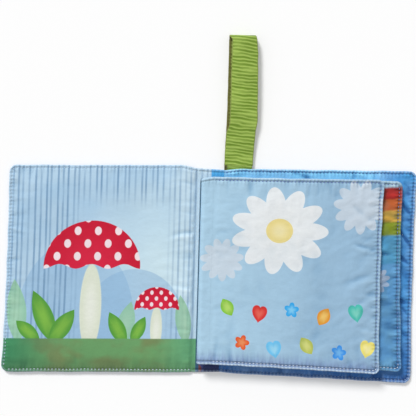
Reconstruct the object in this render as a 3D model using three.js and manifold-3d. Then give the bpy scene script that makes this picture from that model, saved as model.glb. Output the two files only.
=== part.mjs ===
// A crinkle cloth book for a baby, lying open and flat. A soft front cover and a soft back cover meet at a cloth
// spine, two padded leaves with crinkle film inside are sewn to the spine, and a ribbed strap is sewn into the top
// seam of the back cover. The book is shown open at its first leaf, so both leaves lie on the back cover.
//
// Millimetres. +X runs across the open book to the back cover, +Y to the top edge and +Z up from the table.
// The origin is the middle of the spine's underside.

import * as THREE from "three";
import { mergeVertices } from "three/addons/utils/BufferGeometryUtils.js";
import Module from "manifold-3d";

const wasm = await Module();
wasm.setup();

// Cloth, hems and fillings

const CLOTH_THICKNESS = 0.7; // one layer of printed cloth
const LAYER_GAP = 0.3; // between layers that lie on each other
const REST_GAP = 0.4; // between a leaf and what it lies on
const FILM_THICKNESS = 0.3; // crinkle film over its creases
const HEM_THICKNESS = 1.15; // cloth with its turned-in seam allowance
const HEM_WIDTH = 5; // reach of the seam allowance from an edge
const WADDING_INSET = 7; // from an edge to the wadding
const CROWN_REACH = 30; // from an edge to a panel's full thickness
const CROWN_POWER = 3; // how steeply a padded edge rounds up
const CROWN_SHARES = [0.3, 0.6, 1]; // lines of the rounding between the wadding's edge and full thickness

// Covers

const COVER_WIDTH = 150; // from the spine's seam to the outer edge
const COVER_ROOT_HEIGHT = 160; // along the spine, where the seam gathers the cloth
const COVER_EDGE_HEIGHT = 165; // along the outer edge
const COVER_THICKNESS = 5;
const COVER_CORNER_RADIUS = 6;
const COVER_RIM_LIFT = 0.8; // underside of a sewn edge above the table
const COVER_DRAW_IN = 0.4; // how far a side pulls in between its corners

// Spine and binding

const SPINE_WIDTH = 20;
const SPINE_HEM_INSET = 0.6; // the spine's ends inside the covers' corners
const BINDING_THICKNESS = 3; // the gathered root cloth of both leaves
const BINDING_HEIGHT = 142;

// Leaves

const LEAF_THICKNESS = 4.5;
const LEAF_ROOT_HEIGHT = 143.5; // along the spine
const LEAF_EDGE_HEIGHT = 149; // along the outer edge
const LEAF_CORNER_RADIUS = 5;
const LEAF_DRAW_IN = 1.2;
const LEAF_2_ROOT_X = 10; // inner end of the padding
const LEAF_2_EDGE_X = 150;
const LEAF_1_ROOT_X = 2;
const LEAF_1_EDGE_X = 133;
const LEAF_1_ROLL_X = -6.7; // middle of the roll in the first leaf's root
const LEAF_1_ROLL_DROP = 1.2; // the roll's lower run under the turning axis
const ROOT_START = 0.5; // from the turning axis to the start of a leaf's root
const ROOT_STEPS = 7; // points along the free run of a root
const ROLL_STEPS = 6; // steps round the roll

// Strap

const STRAP_WIDTH = 21.5;
const STRAP_LENGTH = 105; // from the top edge of the cover to the fold
const STRAP_CLOTH_THICKNESS = 1.2;
const STRAP_LOOP_GAP = 5; // between the two layers near the fold
const STRAP_SEAM_OFFSET = 0.6; // from the spine's seam to the strap
const STRAP_TAIL_DEPTH = 4; // how far its ends reach into the seam
const STRAP_TAIL_THICKNESS = 0.6; // the ends, pressed flat by the stitches
const STRAP_JOIN = 11; // where its two layers are one, next to the seam
const STRAP_SETTLE = 9; // over which the lower layer comes down to the table
const STRAP_SWELL_SHARE = 0.55; // of its length, over which the layers part
const STRAP_STEPS = 12; // steps along one layer
const FOLD_STEPS = 8; // steps round the fold

// Heights that follow from the stack

const RIM_THICKNESS = 2 * HEM_THICKNESS + LAYER_GAP;
const ROOT_THICKNESS = 2 * CLOTH_THICKNESS + LAYER_GAP;
const leaf2MiddleZ = COVER_THICKNESS + REST_GAP + LEAF_THICKNESS / 2;
const leaf1MiddleZ = leaf2MiddleZ + LEAF_THICKNESS + REST_GAP;
const turningZ = (leaf2MiddleZ + leaf1MiddleZ) / 2; // mid-height of the closed book
const seamMiddleZ = COVER_RIM_LIFT + RIM_THICKNESS / 2;

// Shares of a run, eased at both ends.
const eased = (share) => {
  const t = THREE.MathUtils.clamp(share, 0, 1);
  return t * t * (3 - 2 * t);
};

// Height share of a padded panel at a distance from one of its edges.
const crownShare = (distance) => 1 - (1 - Math.min(distance / CROWN_REACH, 1)) ** CROWN_POWER;

// Grid lines of a padded panel, as distances from one of its straight edges.
const PADDING_LINES = CROWN_SHARES.map((share) => WADDING_INSET + (CROWN_REACH - WADDING_INSET) * share);
const EDGE_LINES = [0, HEM_WIDTH, WADDING_INSET, ...PADDING_LINES];
const WADDING_FIRST = EDGE_LINES.indexOf(WADDING_INSET);

// Distances from the outer edge: the same lines, with more where the corners round off.
function outerLines(cornerRadius) {
  const corner = [1 / 6, 1 / 3, 1 / 2].map((turn) => cornerRadius * (1 - Math.sin(turn * Math.PI)));
  const rounding = corner.map((line) => cornerRadius * Math.sin(Math.acos(1 - line / cornerRadius)));
  const extra = [...corner, ...rounding, cornerRadius].filter((line) =>
    EDGE_LINES.every((edge) => Math.abs(edge - line) > LAYER_GAP),
  );
  const sorted = [...EDGE_LINES, ...extra].sort((a, b) => a - b);
  return sorted.filter((line, i) => i === 0 || line - sorted[i - 1] > LAYER_GAP);
}

// Half the height of a panel between its top and bottom seams, before its corners round off.
function seamHalfHeight({ width, rootHeight, edgeHeight, drawIn }, across) {
  const share = across / width;
  return THREE.MathUtils.lerp(rootHeight, edgeHeight, share) / 2 - drawIn * Math.sin(Math.PI * share);
}

// A padded panel: where its grid points lie, and how high its underside and its top are at each.
function paddedPanel(sizes) {
  const { rootX, side, width, edgeHeight, cornerRadius, drawIn, heights } = sizes;
  const outer = outerLines(cornerRadius);
  const columns = [...EDGE_LINES, ...outer.map((line) => width - line).reverse()];
  const rows = [
    ...EDGE_LINES.map((inset) => ({ inset, end: -1 })),
    ...[...EDGE_LINES].reverse().map((inset) => ({ inset, end: 1 })),
  ];

  const halfHeight = (across) => {
    const left = Math.max(cornerRadius - (width - across), 0);
    const corner = cornerRadius - Math.sqrt(cornerRadius ** 2 - left ** 2);
    return seamHalfHeight(sizes, across) - corner;
  };

  const point = (column, row) => {
    const across = columns[column];
    const { inset, end } = rows[row];
    const y = end * (halfHeight(across) - inset);
    const bow = 1 - (y / (edgeHeight / 2)) ** 2;
    const x = rootX + side * (across - drawIn * bow * (across / width) ** 4);
    return { x, y, ...heights(across, width - across, inset), edge: Math.min(across, width - across, inset) };
  };

  const firstOuter = columns.length - outer.length;
  const padding = {
    columns: [WADDING_FIRST, firstOuter + outer.length - 1 - outer.indexOf(WADDING_INSET)],
    rows: [WADDING_FIRST, rows.length - 1 - WADDING_FIRST],
  };
  const whole = { columns: [0, columns.length - 1], rows: [0, rows.length - 1] };
  return { point, whole, padding, mirrored: side < 0 };
}

// One layer of a panel: a closed sheet over part of its grid, between the heights that bounds gives at a point.
function layer(panel, span, bounds) {
  const [firstColumn, lastColumn] = span.columns;
  const [firstRow, lastRow] = span.rows;
  const rowCount = lastRow - firstRow + 1;
  const columnCount = lastColumn - firstColumn + 1;
  const positions = [];
  for (let i = 0; i < columnCount; i++) {
    for (let j = 0; j < rowCount; j++) {
      const p = panel.point(firstColumn + i, firstRow + j);
      const [low, high] = bounds(p);
      positions.push(p.x, p.y, low, p.x, p.y, high);
    }
  }
  return closedSheet(positions, columnCount, rowCount, panel.mirrored);
}

// A closed sheet from a grid of low and high points. A mirrored grid has its faces turned round.
function closedSheet(positions, columnCount, rowCount, mirrored) {
  const low = (i, j) => 2 * (i * rowCount + j);
  const high = (i, j) => low(i, j) + 1;
  const index = [];
  const quad = (a, b, c, d) => {
    const corners = mirrored ? [a, d, c, b] : [a, b, c, d];
    index.push(corners[0], corners[1], corners[2], corners[0], corners[2], corners[3]);
  };
  for (let i = 0; i < columnCount - 1; i++) {
    for (let j = 0; j < rowCount - 1; j++) {
      quad(high(i, j), high(i + 1, j), high(i + 1, j + 1), high(i, j + 1));
      quad(low(i, j), low(i, j + 1), low(i + 1, j + 1), low(i + 1, j));
    }
    const end = rowCount - 1;
    quad(low(i, 0), low(i + 1, 0), high(i + 1, 0), high(i, 0));
    quad(low(i + 1, end), low(i, end), high(i, end), high(i + 1, end));
  }
  for (let j = 0; j < rowCount - 1; j++) {
    const end = columnCount - 1;
    quad(low(0, j + 1), low(0, j), high(0, j), high(0, j + 1));
    quad(low(end, j), low(end, j + 1), high(end, j + 1), high(end, j));
  }
  const geometry = new THREE.BufferGeometry();
  geometry.setAttribute("position", new THREE.Float32BufferAttribute(positions, 3));
  geometry.setIndex(index);
  return geometry;
}

const clothThickness = (edge) => (edge <= HEM_WIDTH ? HEM_THICKNESS : CLOTH_THICKNESS);
const lowerCloth = (p) => [p.bottom, p.bottom + clothThickness(p.edge)];
const upperCloth = (p) => [p.top - clothThickness(p.edge), p.top];
const underFace = (p) => p.top - CLOTH_THICKNESS - LAYER_GAP;
const aboveBack = (p) => p.bottom + CLOTH_THICKNESS + LAYER_GAP;
const film = (p) => [underFace(p) - FILM_THICKNESS, underFace(p)];
const waddingUnderFilm = (p) => [aboveBack(p), underFace(p) - FILM_THICKNESS - LAYER_GAP];
const waddingUnderFace = (p) => [aboveBack(p), underFace(p)];

const coverOutline = {
  width: COVER_WIDTH,
  rootHeight: COVER_ROOT_HEIGHT,
  edgeHeight: COVER_EDGE_HEIGHT,
  cornerRadius: COVER_CORNER_RADIUS,
  drawIn: COVER_DRAW_IN,
};

// A cover lies flat on the table, and its three free edges lift a little from it.
function coverPanel(side) {
  const settled = (distance) => Math.min(distance / WADDING_INSET, 1);
  const heights = (fromRoot, fromEdge, inset) => {
    const bottom = COVER_RIM_LIFT * (1 - settled(fromEdge) * settled(inset));
    const crown = crownShare(fromRoot) * crownShare(fromEdge) * crownShare(inset);
    return { bottom, top: bottom + RIM_THICKNESS + (COVER_THICKNESS - RIM_THICKNESS - bottom) * crown };
  };
  return paddedPanel({ ...coverOutline, rootX: (side * SPINE_WIDTH) / 2, side, heights });
}

// A leaf is crowned alike on both faces.
function leafPanel(rootX, edgeX, middleZ) {
  const heights = (fromRoot, fromEdge, inset) => {
    const crown = crownShare(fromRoot) * crownShare(fromEdge) * crownShare(inset);
    const half = (RIM_THICKNESS + (LEAF_THICKNESS - RIM_THICKNESS) * crown) / 2;
    return { bottom: middleZ - half, top: middleZ + half };
  };
  return paddedPanel({
    rootX,
    side: 1,
    width: edgeX - rootX,
    rootHeight: LEAF_ROOT_HEIGHT,
    edgeHeight: LEAF_EDGE_HEIGHT,
    cornerRadius: LEAF_CORNER_RADIUS,
    drawIn: LEAF_DRAW_IN,
    heights,
  });
}

// The spine's cloth is a flat strip between the covers' seams.
function spineStrip(bottom) {
  const halfWidth = SPINE_WIDTH / 2 - LAYER_GAP;
  const halfHeight = COVER_ROOT_HEIGHT / 2 - SPINE_HEM_INSET;
  const geometry = new THREE.BoxGeometry(2 * halfWidth, 2 * halfHeight, CLOTH_THICKNESS);
  return geometry.translate(0, 0, bottom + CLOTH_THICKNESS / 2);
}

// A leaf's unpadded root: a ribbon of two cloths along a path in the XZ plane, as tall as its two ends ask.
function rootRibbon(path, startHeight, endHeight) {
  const positions = [];
  path.forEach((here, i) => {
    const before = path[Math.max(i - 1, 0)];
    const after = path[Math.min(i + 1, path.length - 1)];
    const along = new THREE.Vector2(after.x - before.x, after.y - before.y).normalize();
    const out = new THREE.Vector2(-along.y, along.x).multiplyScalar(ROOT_THICKNESS / 2);
    const half = THREE.MathUtils.lerp(startHeight, endHeight, i / (path.length - 1)) / 2;
    for (const y of [-half, half]) {
      positions.push(here.x - out.x, y, here.y - out.y, here.x + out.x, y, here.y + out.y);
    }
  });
  return closedSheet(positions, path.length, 2, false);
}

// An S-shaped run between two points of the XZ plane, level at both ends.
function easedRun(from, to, steps) {
  return Array.from({ length: steps + 1 }, (_, i) => {
    const share = i / steps;
    return new THREE.Vector2(
      THREE.MathUtils.lerp(from.x, to.x, share),
      THREE.MathUtils.lerp(from.y, to.y, eased(share)),
    );
  });
}

// The second leaf's root comes down from the binding to the leaf on the back cover.
function leaf2Root() {
  const from = new THREE.Vector2(ROOT_START, turningZ);
  const to = new THREE.Vector2(LEAF_2_ROOT_X - LAYER_GAP, leaf2MiddleZ);
  return rootRibbon(easedRun(from, to, ROOT_STEPS), BINDING_HEIGHT, LEAF_ROOT_HEIGHT);
}

// The first leaf belongs to the left half of the spread. Turned to the right, its root leaves the binding to the
// left, rolls over and comes back above it.
function leaf1Root() {
  const lowZ = turningZ - LEAF_1_ROLL_DROP;
  const radius = (leaf1MiddleZ - lowZ) / 2;
  const start = new THREE.Vector2(-ROOT_START, turningZ);
  const lowRun = easedRun(start, new THREE.Vector2(LEAF_1_ROLL_X, lowZ), ROOT_STEPS);
  const roll = Array.from({ length: ROLL_STEPS - 1 }, (_, i) => {
    const turn = (Math.PI * (i + 1)) / ROLL_STEPS;
    return new THREE.Vector2(
      LEAF_1_ROLL_X - radius * Math.sin(turn),
      lowZ + radius * (1 - Math.cos(turn)),
    );
  });
  const top = new THREE.Vector2(LEAF_1_ROLL_X, leaf1MiddleZ);
  const end = new THREE.Vector2(LEAF_1_ROOT_X - LAYER_GAP, leaf1MiddleZ);
  return rootRibbon([...lowRun, ...roll, top, end].reverse(), LEAF_ROOT_HEIGHT, BINDING_HEIGHT);
}

// The binding: the leaves' root cloth, gathered into a ridge and stitched to the lining along the spine.
function bindingRidge() {
  const half = BINDING_THICKNESS / 2;
  const foot = 2 * (CLOTH_THICKNESS + LAYER_GAP);
  const top = turningZ - ROOT_THICKNESS / 2 - LAYER_GAP;
  const outline = new THREE.Shape();
  outline.moveTo(-half, foot);
  outline.lineTo(half, foot);
  outline.lineTo(half, top - half);
  outline.absarc(0, top - half, half, 0, Math.PI, false);
  return extrudeAlongY(outline, BINDING_HEIGHT, FOLD_STEPS);
}

// Extrudes an outline drawn in (x, z) along Y, centred on y = 0.
function extrudeAlongY(outline, length, curveSegments) {
  const geometry = new THREE.ExtrudeGeometry(outline, { depth: length, bevelEnabled: false, curveSegments });
  return geometry.rotateX(Math.PI / 2).translate(0, length / 2, 0);
}

// Extrudes an outline drawn in (y, z) along X, from x.
function extrudeAlongX(outline, x, length) {
  const geometry = new THREE.ExtrudeGeometry(outline, { depth: length, bevelEnabled: false });
  const axes = new THREE.Matrix4().makeBasis(
    new THREE.Vector3(0, 1, 0),
    new THREE.Vector3(0, 0, 1),
    new THREE.Vector3(1, 0, 0),
  );
  return geometry.applyMatrix4(axes).translate(x, 0, 0);
}

// Where the strap lies and swings

const strapX = SPINE_WIDTH / 2 + STRAP_SEAM_OFFSET;
const strapThickness = 2 * STRAP_CLOTH_THICKNESS + STRAP_LOOP_GAP;
const seamAtStrap = [0, 1 / 2, 1].map((share) =>
  seamHalfHeight(coverOutline, STRAP_SEAM_OFFSET + share * STRAP_WIDTH),
);
const strapTurningY = Math.max(...seamAtStrap) + strapThickness / 2 + REST_GAP; // clear of the closed cover
const strapStartY = strapTurningY - LAYER_GAP / 2;
const strapEndY = Math.max(...seamAtStrap) + STRAP_LENGTH;
const tailInsideY = Math.min(...seamAtStrap) - STRAP_TAIL_DEPTH;
const tailOutsideY = Math.max(...seamAtStrap) + LAYER_GAP;

// The strap's ends, sewn into the cover's top hem: pressed flat inside it and full outside.
function strapTail() {
  const endY = strapStartY - LAYER_GAP;
  const pressed = STRAP_TAIL_THICKNESS / 2;
  const outline = new THREE.Shape();
  outline.moveTo(tailInsideY, seamMiddleZ - pressed);
  outline.lineTo(tailOutsideY, seamMiddleZ - pressed);
  outline.lineTo(endY, seamMiddleZ - STRAP_CLOTH_THICKNESS);
  outline.lineTo(endY, seamMiddleZ + STRAP_CLOTH_THICKNESS);
  outline.lineTo(tailOutsideY, seamMiddleZ + pressed);
  outline.lineTo(tailInsideY, seamMiddleZ + pressed);
  return extrudeAlongX(outline, strapX, STRAP_WIDTH);
}

// The slot that the strap's ends leave between the hems of the back cover.
function strapSlot() {
  const insideY = tailInsideY - LAYER_GAP;
  const height = STRAP_TAIL_THICKNESS + 2 * LAYER_GAP;
  const slot = new THREE.BoxGeometry(STRAP_WIDTH + 2 * LAYER_GAP, tailOutsideY - insideY, height);
  return slot.translate(strapX + STRAP_WIDTH / 2, (insideY + tailOutsideY) / 2, seamMiddleZ);
}

// The strap's free loop, seen from its side: a long teardrop that lies on the table.
function strapLoop() {
  const swell = STRAP_LENGTH * STRAP_SWELL_SHARE;
  const foldY = strapEndY - strapThickness / 2;
  const lower = (y) => (seamMiddleZ - STRAP_CLOTH_THICKNESS) * (1 - eased((y - strapStartY) / STRAP_SETTLE));
  const upper = (y) => {
    const root = seamMiddleZ + STRAP_CLOTH_THICKNESS;
    return THREE.MathUtils.lerp(root, strapThickness, eased((y - strapStartY) / swell));
  };
  const along = (start) =>
    Array.from({ length: STRAP_STEPS + 1 }, (_, i) => THREE.MathUtils.lerp(start, foldY, i / STRAP_STEPS));
  const fold = (radius) =>
    Array.from({ length: FOLD_STEPS - 1 }, (_, i) => {
      const turn = (Math.PI * (i + 1)) / FOLD_STEPS - Math.PI / 2;
      return new THREE.Vector2(
        foldY + radius * Math.cos(turn),
        strapThickness / 2 + radius * Math.sin(turn),
      );
    });
  const ring = (start, wall) => [
    ...along(start).map((y) => new THREE.Vector2(y, lower(y) + wall)),
    ...fold(strapThickness / 2 - wall),
    ...along(start)
      .reverse()
      .map((y) => new THREE.Vector2(y, upper(y) - wall)),
  ];
  const outline = new THREE.Shape(ring(strapStartY, 0));
  outline.holes.push(new THREE.Path(ring(strapStartY + STRAP_JOIN, STRAP_CLOTH_THICKNESS)));
  return extrudeAlongX(outline, strapX, STRAP_WIDTH);
}

// A closed geometry as a solid that can be cut, and back again.
function solidOf(geometry) {
  const bare = geometry.clone();
  bare.deleteAttribute("normal");
  bare.deleteAttribute("uv");
  const merged = mergeVertices(bare);
  return new wasm.Manifold(
    new wasm.Mesh({
      numProp: 3,
      vertProperties: merged.attributes.position.array,
      triVerts: new Uint32Array(merged.index.array),
    }),
  );
}

function cutAway(geometry, cutter) {
  const { vertProperties, triVerts } = solidOf(geometry).subtract(solidOf(cutter)).getMesh();
  const cut = new THREE.BufferGeometry();
  cut.setAttribute("position", new THREE.BufferAttribute(vertProperties, 3));
  cut.setIndex(new THREE.BufferAttribute(triVerts, 1));
  return cut;
}

// Finishes

const finish = (color, roughness) => new THREE.MeshStandardMaterial({ color, roughness, metalness: 0 });
const skyCloth = finish(0xaecde6, 0.85);
const paleCloth = finish(0xb2d2e8, 0.85);
const blueCloth = finish(0x3f8fd2, 0.8);
const aquaCloth = finish(0x6fb9e6, 0.85);
const whiteWadding = finish(0xf4f4f0, 1);
const clearFilm = finish(0xe8edf2, 0.35);
const greenRib = finish(0x8cb83c, 0.9);

// The book

const book = new THREE.Group();
book.name = "crinkle_cloth_book";

function addPiece(group, name, geometry, material) {
  const mesh = new THREE.Mesh(geometry, material);
  mesh.name = name;
  group.add(mesh);
}

function addGroup(name) {
  const group = new THREE.Group();
  group.name = name;
  book.add(group);
  return group;
}

const back = addGroup("back_cover_and_spine");
const backPanel = coverPanel(1);
const slot = strapSlot();
addPiece(
  back,
  "back_cover_outer_cloth",
  cutAway(layer(backPanel, backPanel.whole, lowerCloth), slot),
  blueCloth,
);
addPiece(back, "back_cover_wadding", layer(backPanel, backPanel.padding, waddingUnderFace), whiteWadding);
addPiece(
  back,
  "back_cover_inner_cloth",
  cutAway(layer(backPanel, backPanel.whole, upperCloth), slot),
  blueCloth,
);
addPiece(back, "spine_outer_cloth", spineStrip(0), blueCloth);
addPiece(back, "spine_lining", spineStrip(CLOTH_THICKNESS + LAYER_GAP), skyCloth);
addPiece(back, "leaf_binding", bindingRidge(), paleCloth);
addPiece(back, "strap_tail", strapTail(), greenRib);

const front = addGroup("front_cover");
const frontPanel = coverPanel(-1);
addPiece(front, "front_cover_outer_cloth", layer(frontPanel, frontPanel.whole, lowerCloth), blueCloth);
addPiece(front, "front_cover_wadding", layer(frontPanel, frontPanel.padding, waddingUnderFace), whiteWadding);
addPiece(front, "front_cover_inner_cloth", layer(frontPanel, frontPanel.whole, upperCloth), skyCloth);

const leaves = [
  { name: "leaf_2", rootX: LEAF_2_ROOT_X, edgeX: LEAF_2_EDGE_X, middleZ: leaf2MiddleZ, root: leaf2Root() },
  { name: "leaf_1", rootX: LEAF_1_ROOT_X, edgeX: LEAF_1_EDGE_X, middleZ: leaf1MiddleZ, root: leaf1Root() },
];
for (const { name, rootX, edgeX, middleZ, root } of leaves) {
  const group = addGroup(name);
  const panel = leafPanel(rootX, edgeX, middleZ);
  addPiece(group, `${name}_front_cloth`, layer(panel, panel.whole, upperCloth), paleCloth);
  addPiece(group, `${name}_crinkle_film`, layer(panel, panel.padding, film), clearFilm);
  addPiece(group, `${name}_wadding`, layer(panel, panel.padding, waddingUnderFilm), whiteWadding);
  addPiece(group, `${name}_back_cloth`, layer(panel, panel.whole, lowerCloth), aquaCloth);
  addPiece(group, `${name}_root`, root, paleCloth);
}

const strap = addGroup("strap");
addPiece(strap, "strap_loop", strapLoop(), greenRib);

export default book;
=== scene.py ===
"""Dresses the crinkle cloth book: padded panels, gathered spine and roots, ribbed strap, prints and thread.

The classes hold their sizes in millimetres, in the frame of the CAD model, and a mesh is made in metres.
"""

import logging
import math
from collections.abc import Callable, Sequence
from dataclasses import dataclass
from enum import Enum

import bpy
import numpy as np
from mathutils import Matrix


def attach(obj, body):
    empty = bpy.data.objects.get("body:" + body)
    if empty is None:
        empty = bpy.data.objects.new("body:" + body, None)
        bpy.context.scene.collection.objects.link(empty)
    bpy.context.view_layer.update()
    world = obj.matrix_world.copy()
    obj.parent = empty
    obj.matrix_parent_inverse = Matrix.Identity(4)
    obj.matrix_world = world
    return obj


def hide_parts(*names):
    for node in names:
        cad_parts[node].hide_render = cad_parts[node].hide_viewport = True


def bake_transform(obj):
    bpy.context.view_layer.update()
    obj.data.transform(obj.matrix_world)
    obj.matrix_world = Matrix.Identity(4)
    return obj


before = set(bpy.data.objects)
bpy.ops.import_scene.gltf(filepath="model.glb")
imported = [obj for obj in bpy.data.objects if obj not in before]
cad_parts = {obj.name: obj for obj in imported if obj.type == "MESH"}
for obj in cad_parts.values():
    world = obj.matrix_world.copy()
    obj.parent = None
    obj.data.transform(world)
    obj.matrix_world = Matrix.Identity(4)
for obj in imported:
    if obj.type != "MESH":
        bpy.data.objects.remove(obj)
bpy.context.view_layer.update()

LOG = logging.getLogger("crinkle_cloth_book")
MM = 0.001

Array = np.ndarray
Colour = tuple[float, float, float, float]
Pair = tuple[float, float]
Thing = bpy.types.Object
Material = bpy.types.Material
Tree = bpy.types.NodeTree

# Heights of the stack, as in the CAD model
RIM_THICKNESS = 2.6
CLOTH_THICKNESS = 0.45
ROOT_HALF = 0.85
ROOT_THICKNESS = 1.7
TURNING_Z = 10.1
CROWN_REACH = 30.0
CROWN_POWER = 3
RIM_LIFT = 0.8
LIFT_REACH = 7.0

# How the cloth is sewn and lies
STITCH_PITCH = 2.8
THREAD_RADIUS = 0.3
THREAD_TAPER = (0.45, 0.95, 1.0, 0.95, 0.45)
THREAD_FLATNESS = 0.85
THREAD_SIDES = 6
DIP_REACH = 14.0
OVERLAP = 0.4
PROUD = 0.12
RIM_ROUND = 1.3
GROOVE_DEPTH = 0.35
GROOVE_WIDTH = 0.9
WAVE_PITCH = 13.0
WAVE_REACH = 10.0
RIM_LINES = (0, 0.1, 0.3, 0.6, 1.0, 1.5, 2.0, 2.5, 3.0, 3.6, 4.3, 5.1, 6.0, 7.0)


def srgb(red: int, green: int, blue: int) -> Colour:
    """Returns the linear values, with an alpha of 1, of a colour as written on a screen from 0 to 255."""
    parts = (c / 255 for c in (red, green, blue))
    return *(c / 12.92 if c <= 0.04045 else ((c + 0.055) / 1.055) ** 2.4 for c in parts), 1.0


# Curves and noise


def eased(share: Array | float) -> Array:
    """Returns shares held between 0 and 1 and eased at both ends."""
    t = np.clip(share, 0.0, 1.0)
    return t * t * (3 - 2 * t)


def mixed(low: Array | float, high: Array | float, share: Array | float) -> Array:
    """Returns the values between low and high at the given shares."""
    return low + (np.asarray(high) - low) * share


def rounded(share: Array) -> Array:
    """Returns the height of a quarter circle at the given shares of its width."""
    return np.sqrt(1 - (1 - np.clip(share, 0, 1)) ** 2)


def bell(away: Array, width: float) -> Array:
    """Returns a bell curve of height 1 at the given ways from its middle."""
    return np.exp(-((away / width) ** 2))


def stacked(*parts: Array | float) -> Array:
    """Returns points out of their coordinates, which are brought to one shape."""
    return np.stack(np.broadcast_arrays(*parts), -1)


def ways(path: Array) -> Array:
    """Returns the way along a path at each of its points."""
    return np.concatenate([[0], np.cumsum(np.hypot(*np.diff(path, axis=0).T))])


def run_along(path: Array, even: Array, rounds: int = 0) -> Array:
    """Returns the points of a path at the given ways along it, with its corners rounded off in some rounds."""
    line = stacked(*(np.interp(even, ways(path), path[:, k]) for k in (0, 1)))
    for _ in range(rounds):
        line[1:-1] = (line[:-2] + 2 * line[1:-1] + line[2:]) / 4
    return line


def upright(path: Array) -> Array:
    """Returns the direction square to a path at each of its points."""
    run = np.gradient(path, axis=0)
    run /= np.linalg.norm(run, axis=1, keepdims=True)
    return stacked(-run[:, 1], run[:, 0])


def eased_run(start: Pair, end: Pair, steps: int) -> Array:
    """Returns an S-shaped run between two points, level at both ends."""
    share = np.linspace(0, 1, steps + 1)
    return stacked(mixed(start[0], end[0], share), mixed(start[1], end[1], eased(share)))


def graded_lines(length: float, cell: float, near: Sequence[float]) -> Array:
    """Grid lines across a length: close together at both ends and even between.

    Args:
        length: The whole length.
        cell: The spacing away from the ends.
        near: The first lines' distances from an end.

    Returns:
        The lines, from 0 to length.
    """
    ends = np.asarray(near, float)
    steps = max(int(round((length - 2 * ends[-1]) / cell)), 1)
    middle = np.linspace(ends[-1], length - ends[-1], steps + 1)
    return np.concatenate([ends[:-1], middle, (length - ends[:-1])[::-1]])


class Crumple:
    """Smooth seeded noise over a plane, from about -1 to 1."""

    LATTICE = 64
    STRENGTH = 1.6

    def __init__(self, seed: int) -> None:
        """Draws the lattice's slopes from a seed, so that each run gives the same folds."""
        turns = np.random.default_rng(seed).uniform(0, 2 * math.pi, (self.LATTICE, self.LATTICE))
        self.slopes = stacked(np.cos(turns), np.sin(turns))

    def at(self, u: Array, v: Array | float) -> Array:
        """Samples the noise.

        Args:
            u: First coordinate, in lattice cells.
            v: Second coordinate, in lattice cells.

        Returns:
            The noise at each place.
        """
        u, v = np.broadcast_arrays(np.asarray(u, float), np.asarray(v, float))
        column, row = np.floor(u).astype(int), np.floor(v).astype(int)
        fu, fv = u - column, v - row

        def corner(a: int, b: int) -> Array:
            """Returns the slope of one lattice corner times the way to it."""
            slope = self.slopes[(column + a) % self.LATTICE, (row + b) % self.LATTICE]
            return slope[..., 0] * (fu - a) + slope[..., 1] * (fv - b)

        su, sv = (f**3 * (f * (6 * f - 15) + 10) for f in (fu, fv))
        low, high = (mixed(corner(0, b), corner(1, b), su) for b in (0, 1))
        return self.STRENGTH * mixed(low, high, sv)


# Meshes


def mesh_object(
    name: str, points: Array, faces: Sequence[Array], page: Array, material: Material,
    walls: Sequence[Array] = (), **values: Array,
) -> Thing:
    """Makes a smooth mesh, links it into the scene and reports it.

    Args:
        name: The piece's name.
        points: Vertices in millimetres, one row each.
        faces: Arrays of vertex indices, one row for each face.
        page: For each vertex, its place on the cloth and its way to the sewn edge, in millimetres.
        material: Its finish.
        walls: Faces along the rim, which are shaded flat.
        **values: For each vertex, other values by name, such as how deep it lies in a fold.

    Returns:
        The new object.
    """
    mesh = bpy.data.meshes.new(name)
    groups = [*faces, *walls]
    loops = np.concatenate([f.ravel() for f in groups])
    sizes = np.concatenate([np.full(len(f), f.shape[1]) for f in groups])
    mesh.vertices.add(len(points))
    mesh.vertices.foreach_set("co", (points * MM).astype(np.float32).ravel())
    mesh.loops.add(len(loops))
    mesh.loops.foreach_set("vertex_index", loops.astype(np.int32))
    mesh.polygons.add(len(sizes))
    mesh.polygons.foreach_set("loop_start", (np.cumsum(sizes) - sizes).astype(np.int32))
    mesh.polygons.foreach_set("use_smooth", np.arange(len(sizes)) < sum(len(f) for f in faces))
    mesh.update(calc_edges=True)
    mesh.validate()
    mesh.attributes.new("page", "FLOAT_VECTOR", "POINT").data.foreach_set("vector", page.astype(np.float32).ravel())
    for label, value in values.items():
        mesh.attributes.new(label, "FLOAT", "POINT").data.foreach_set("value", value.astype(np.float32))
    mesh.materials.append(material)
    made = bpy.data.objects.new(name, mesh)
    bpy.context.scene.collection.objects.link(made)
    LOG.info("%s: %d vertices", name, len(points))
    return made


def sheet_object(
    name: str, sides: Sequence[Array], page: Array, material: Material, flipped: bool = False, **values: Array
) -> Thing:
    """Makes a closed sheet out of two grids of points.

    Args:
        name: The piece's name.
        sides: The points of the showing side and of the hidden one, rows by columns by three.
        page: The page of each place of the grid.
        material: Its finish.
        flipped: True where the showing side looks the other way.
        **values: Other values of each place, by name.

    Returns:
        The new object.
    """
    rows, columns = page.shape[:2]
    count = rows * columns
    index = np.arange(count).reshape(rows, columns)
    shown = stacked(index[:-1, :-1], index[1:, :-1], index[1:, 1:], index[:-1, 1:]).reshape(-1, 4)
    ring = np.concatenate([index[:, 0], index[-1, 1:], index[-2::-1, -1], index[0, -2:0:-1]])
    after = np.roll(ring, -1)
    faces = np.concatenate([shown, shown[:, ::-1] + count])
    walls = stacked(ring, ring + count, after + count, after)
    if flipped:
        faces, walls = faces[:, ::-1], walls[:, ::-1]
    kept = {label: np.tile(value.ravel(), 2) for label, value in values.items()}
    pages = np.tile(page.reshape(-1, 3), (2, 1))
    return mesh_object(name, np.reshape(sides, (-1, 3)), [faces], pages, material, [walls], **kept)


def tube_faces(index: Array, after: Array) -> Array:
    """Returns the faces between neighbouring rings of vertices, given each vertex and the next one of its ring."""
    return stacked(index[:, :-1], after[:, :-1], after[:, 1:], index[:, 1:]).reshape(-1, 4)


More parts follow.
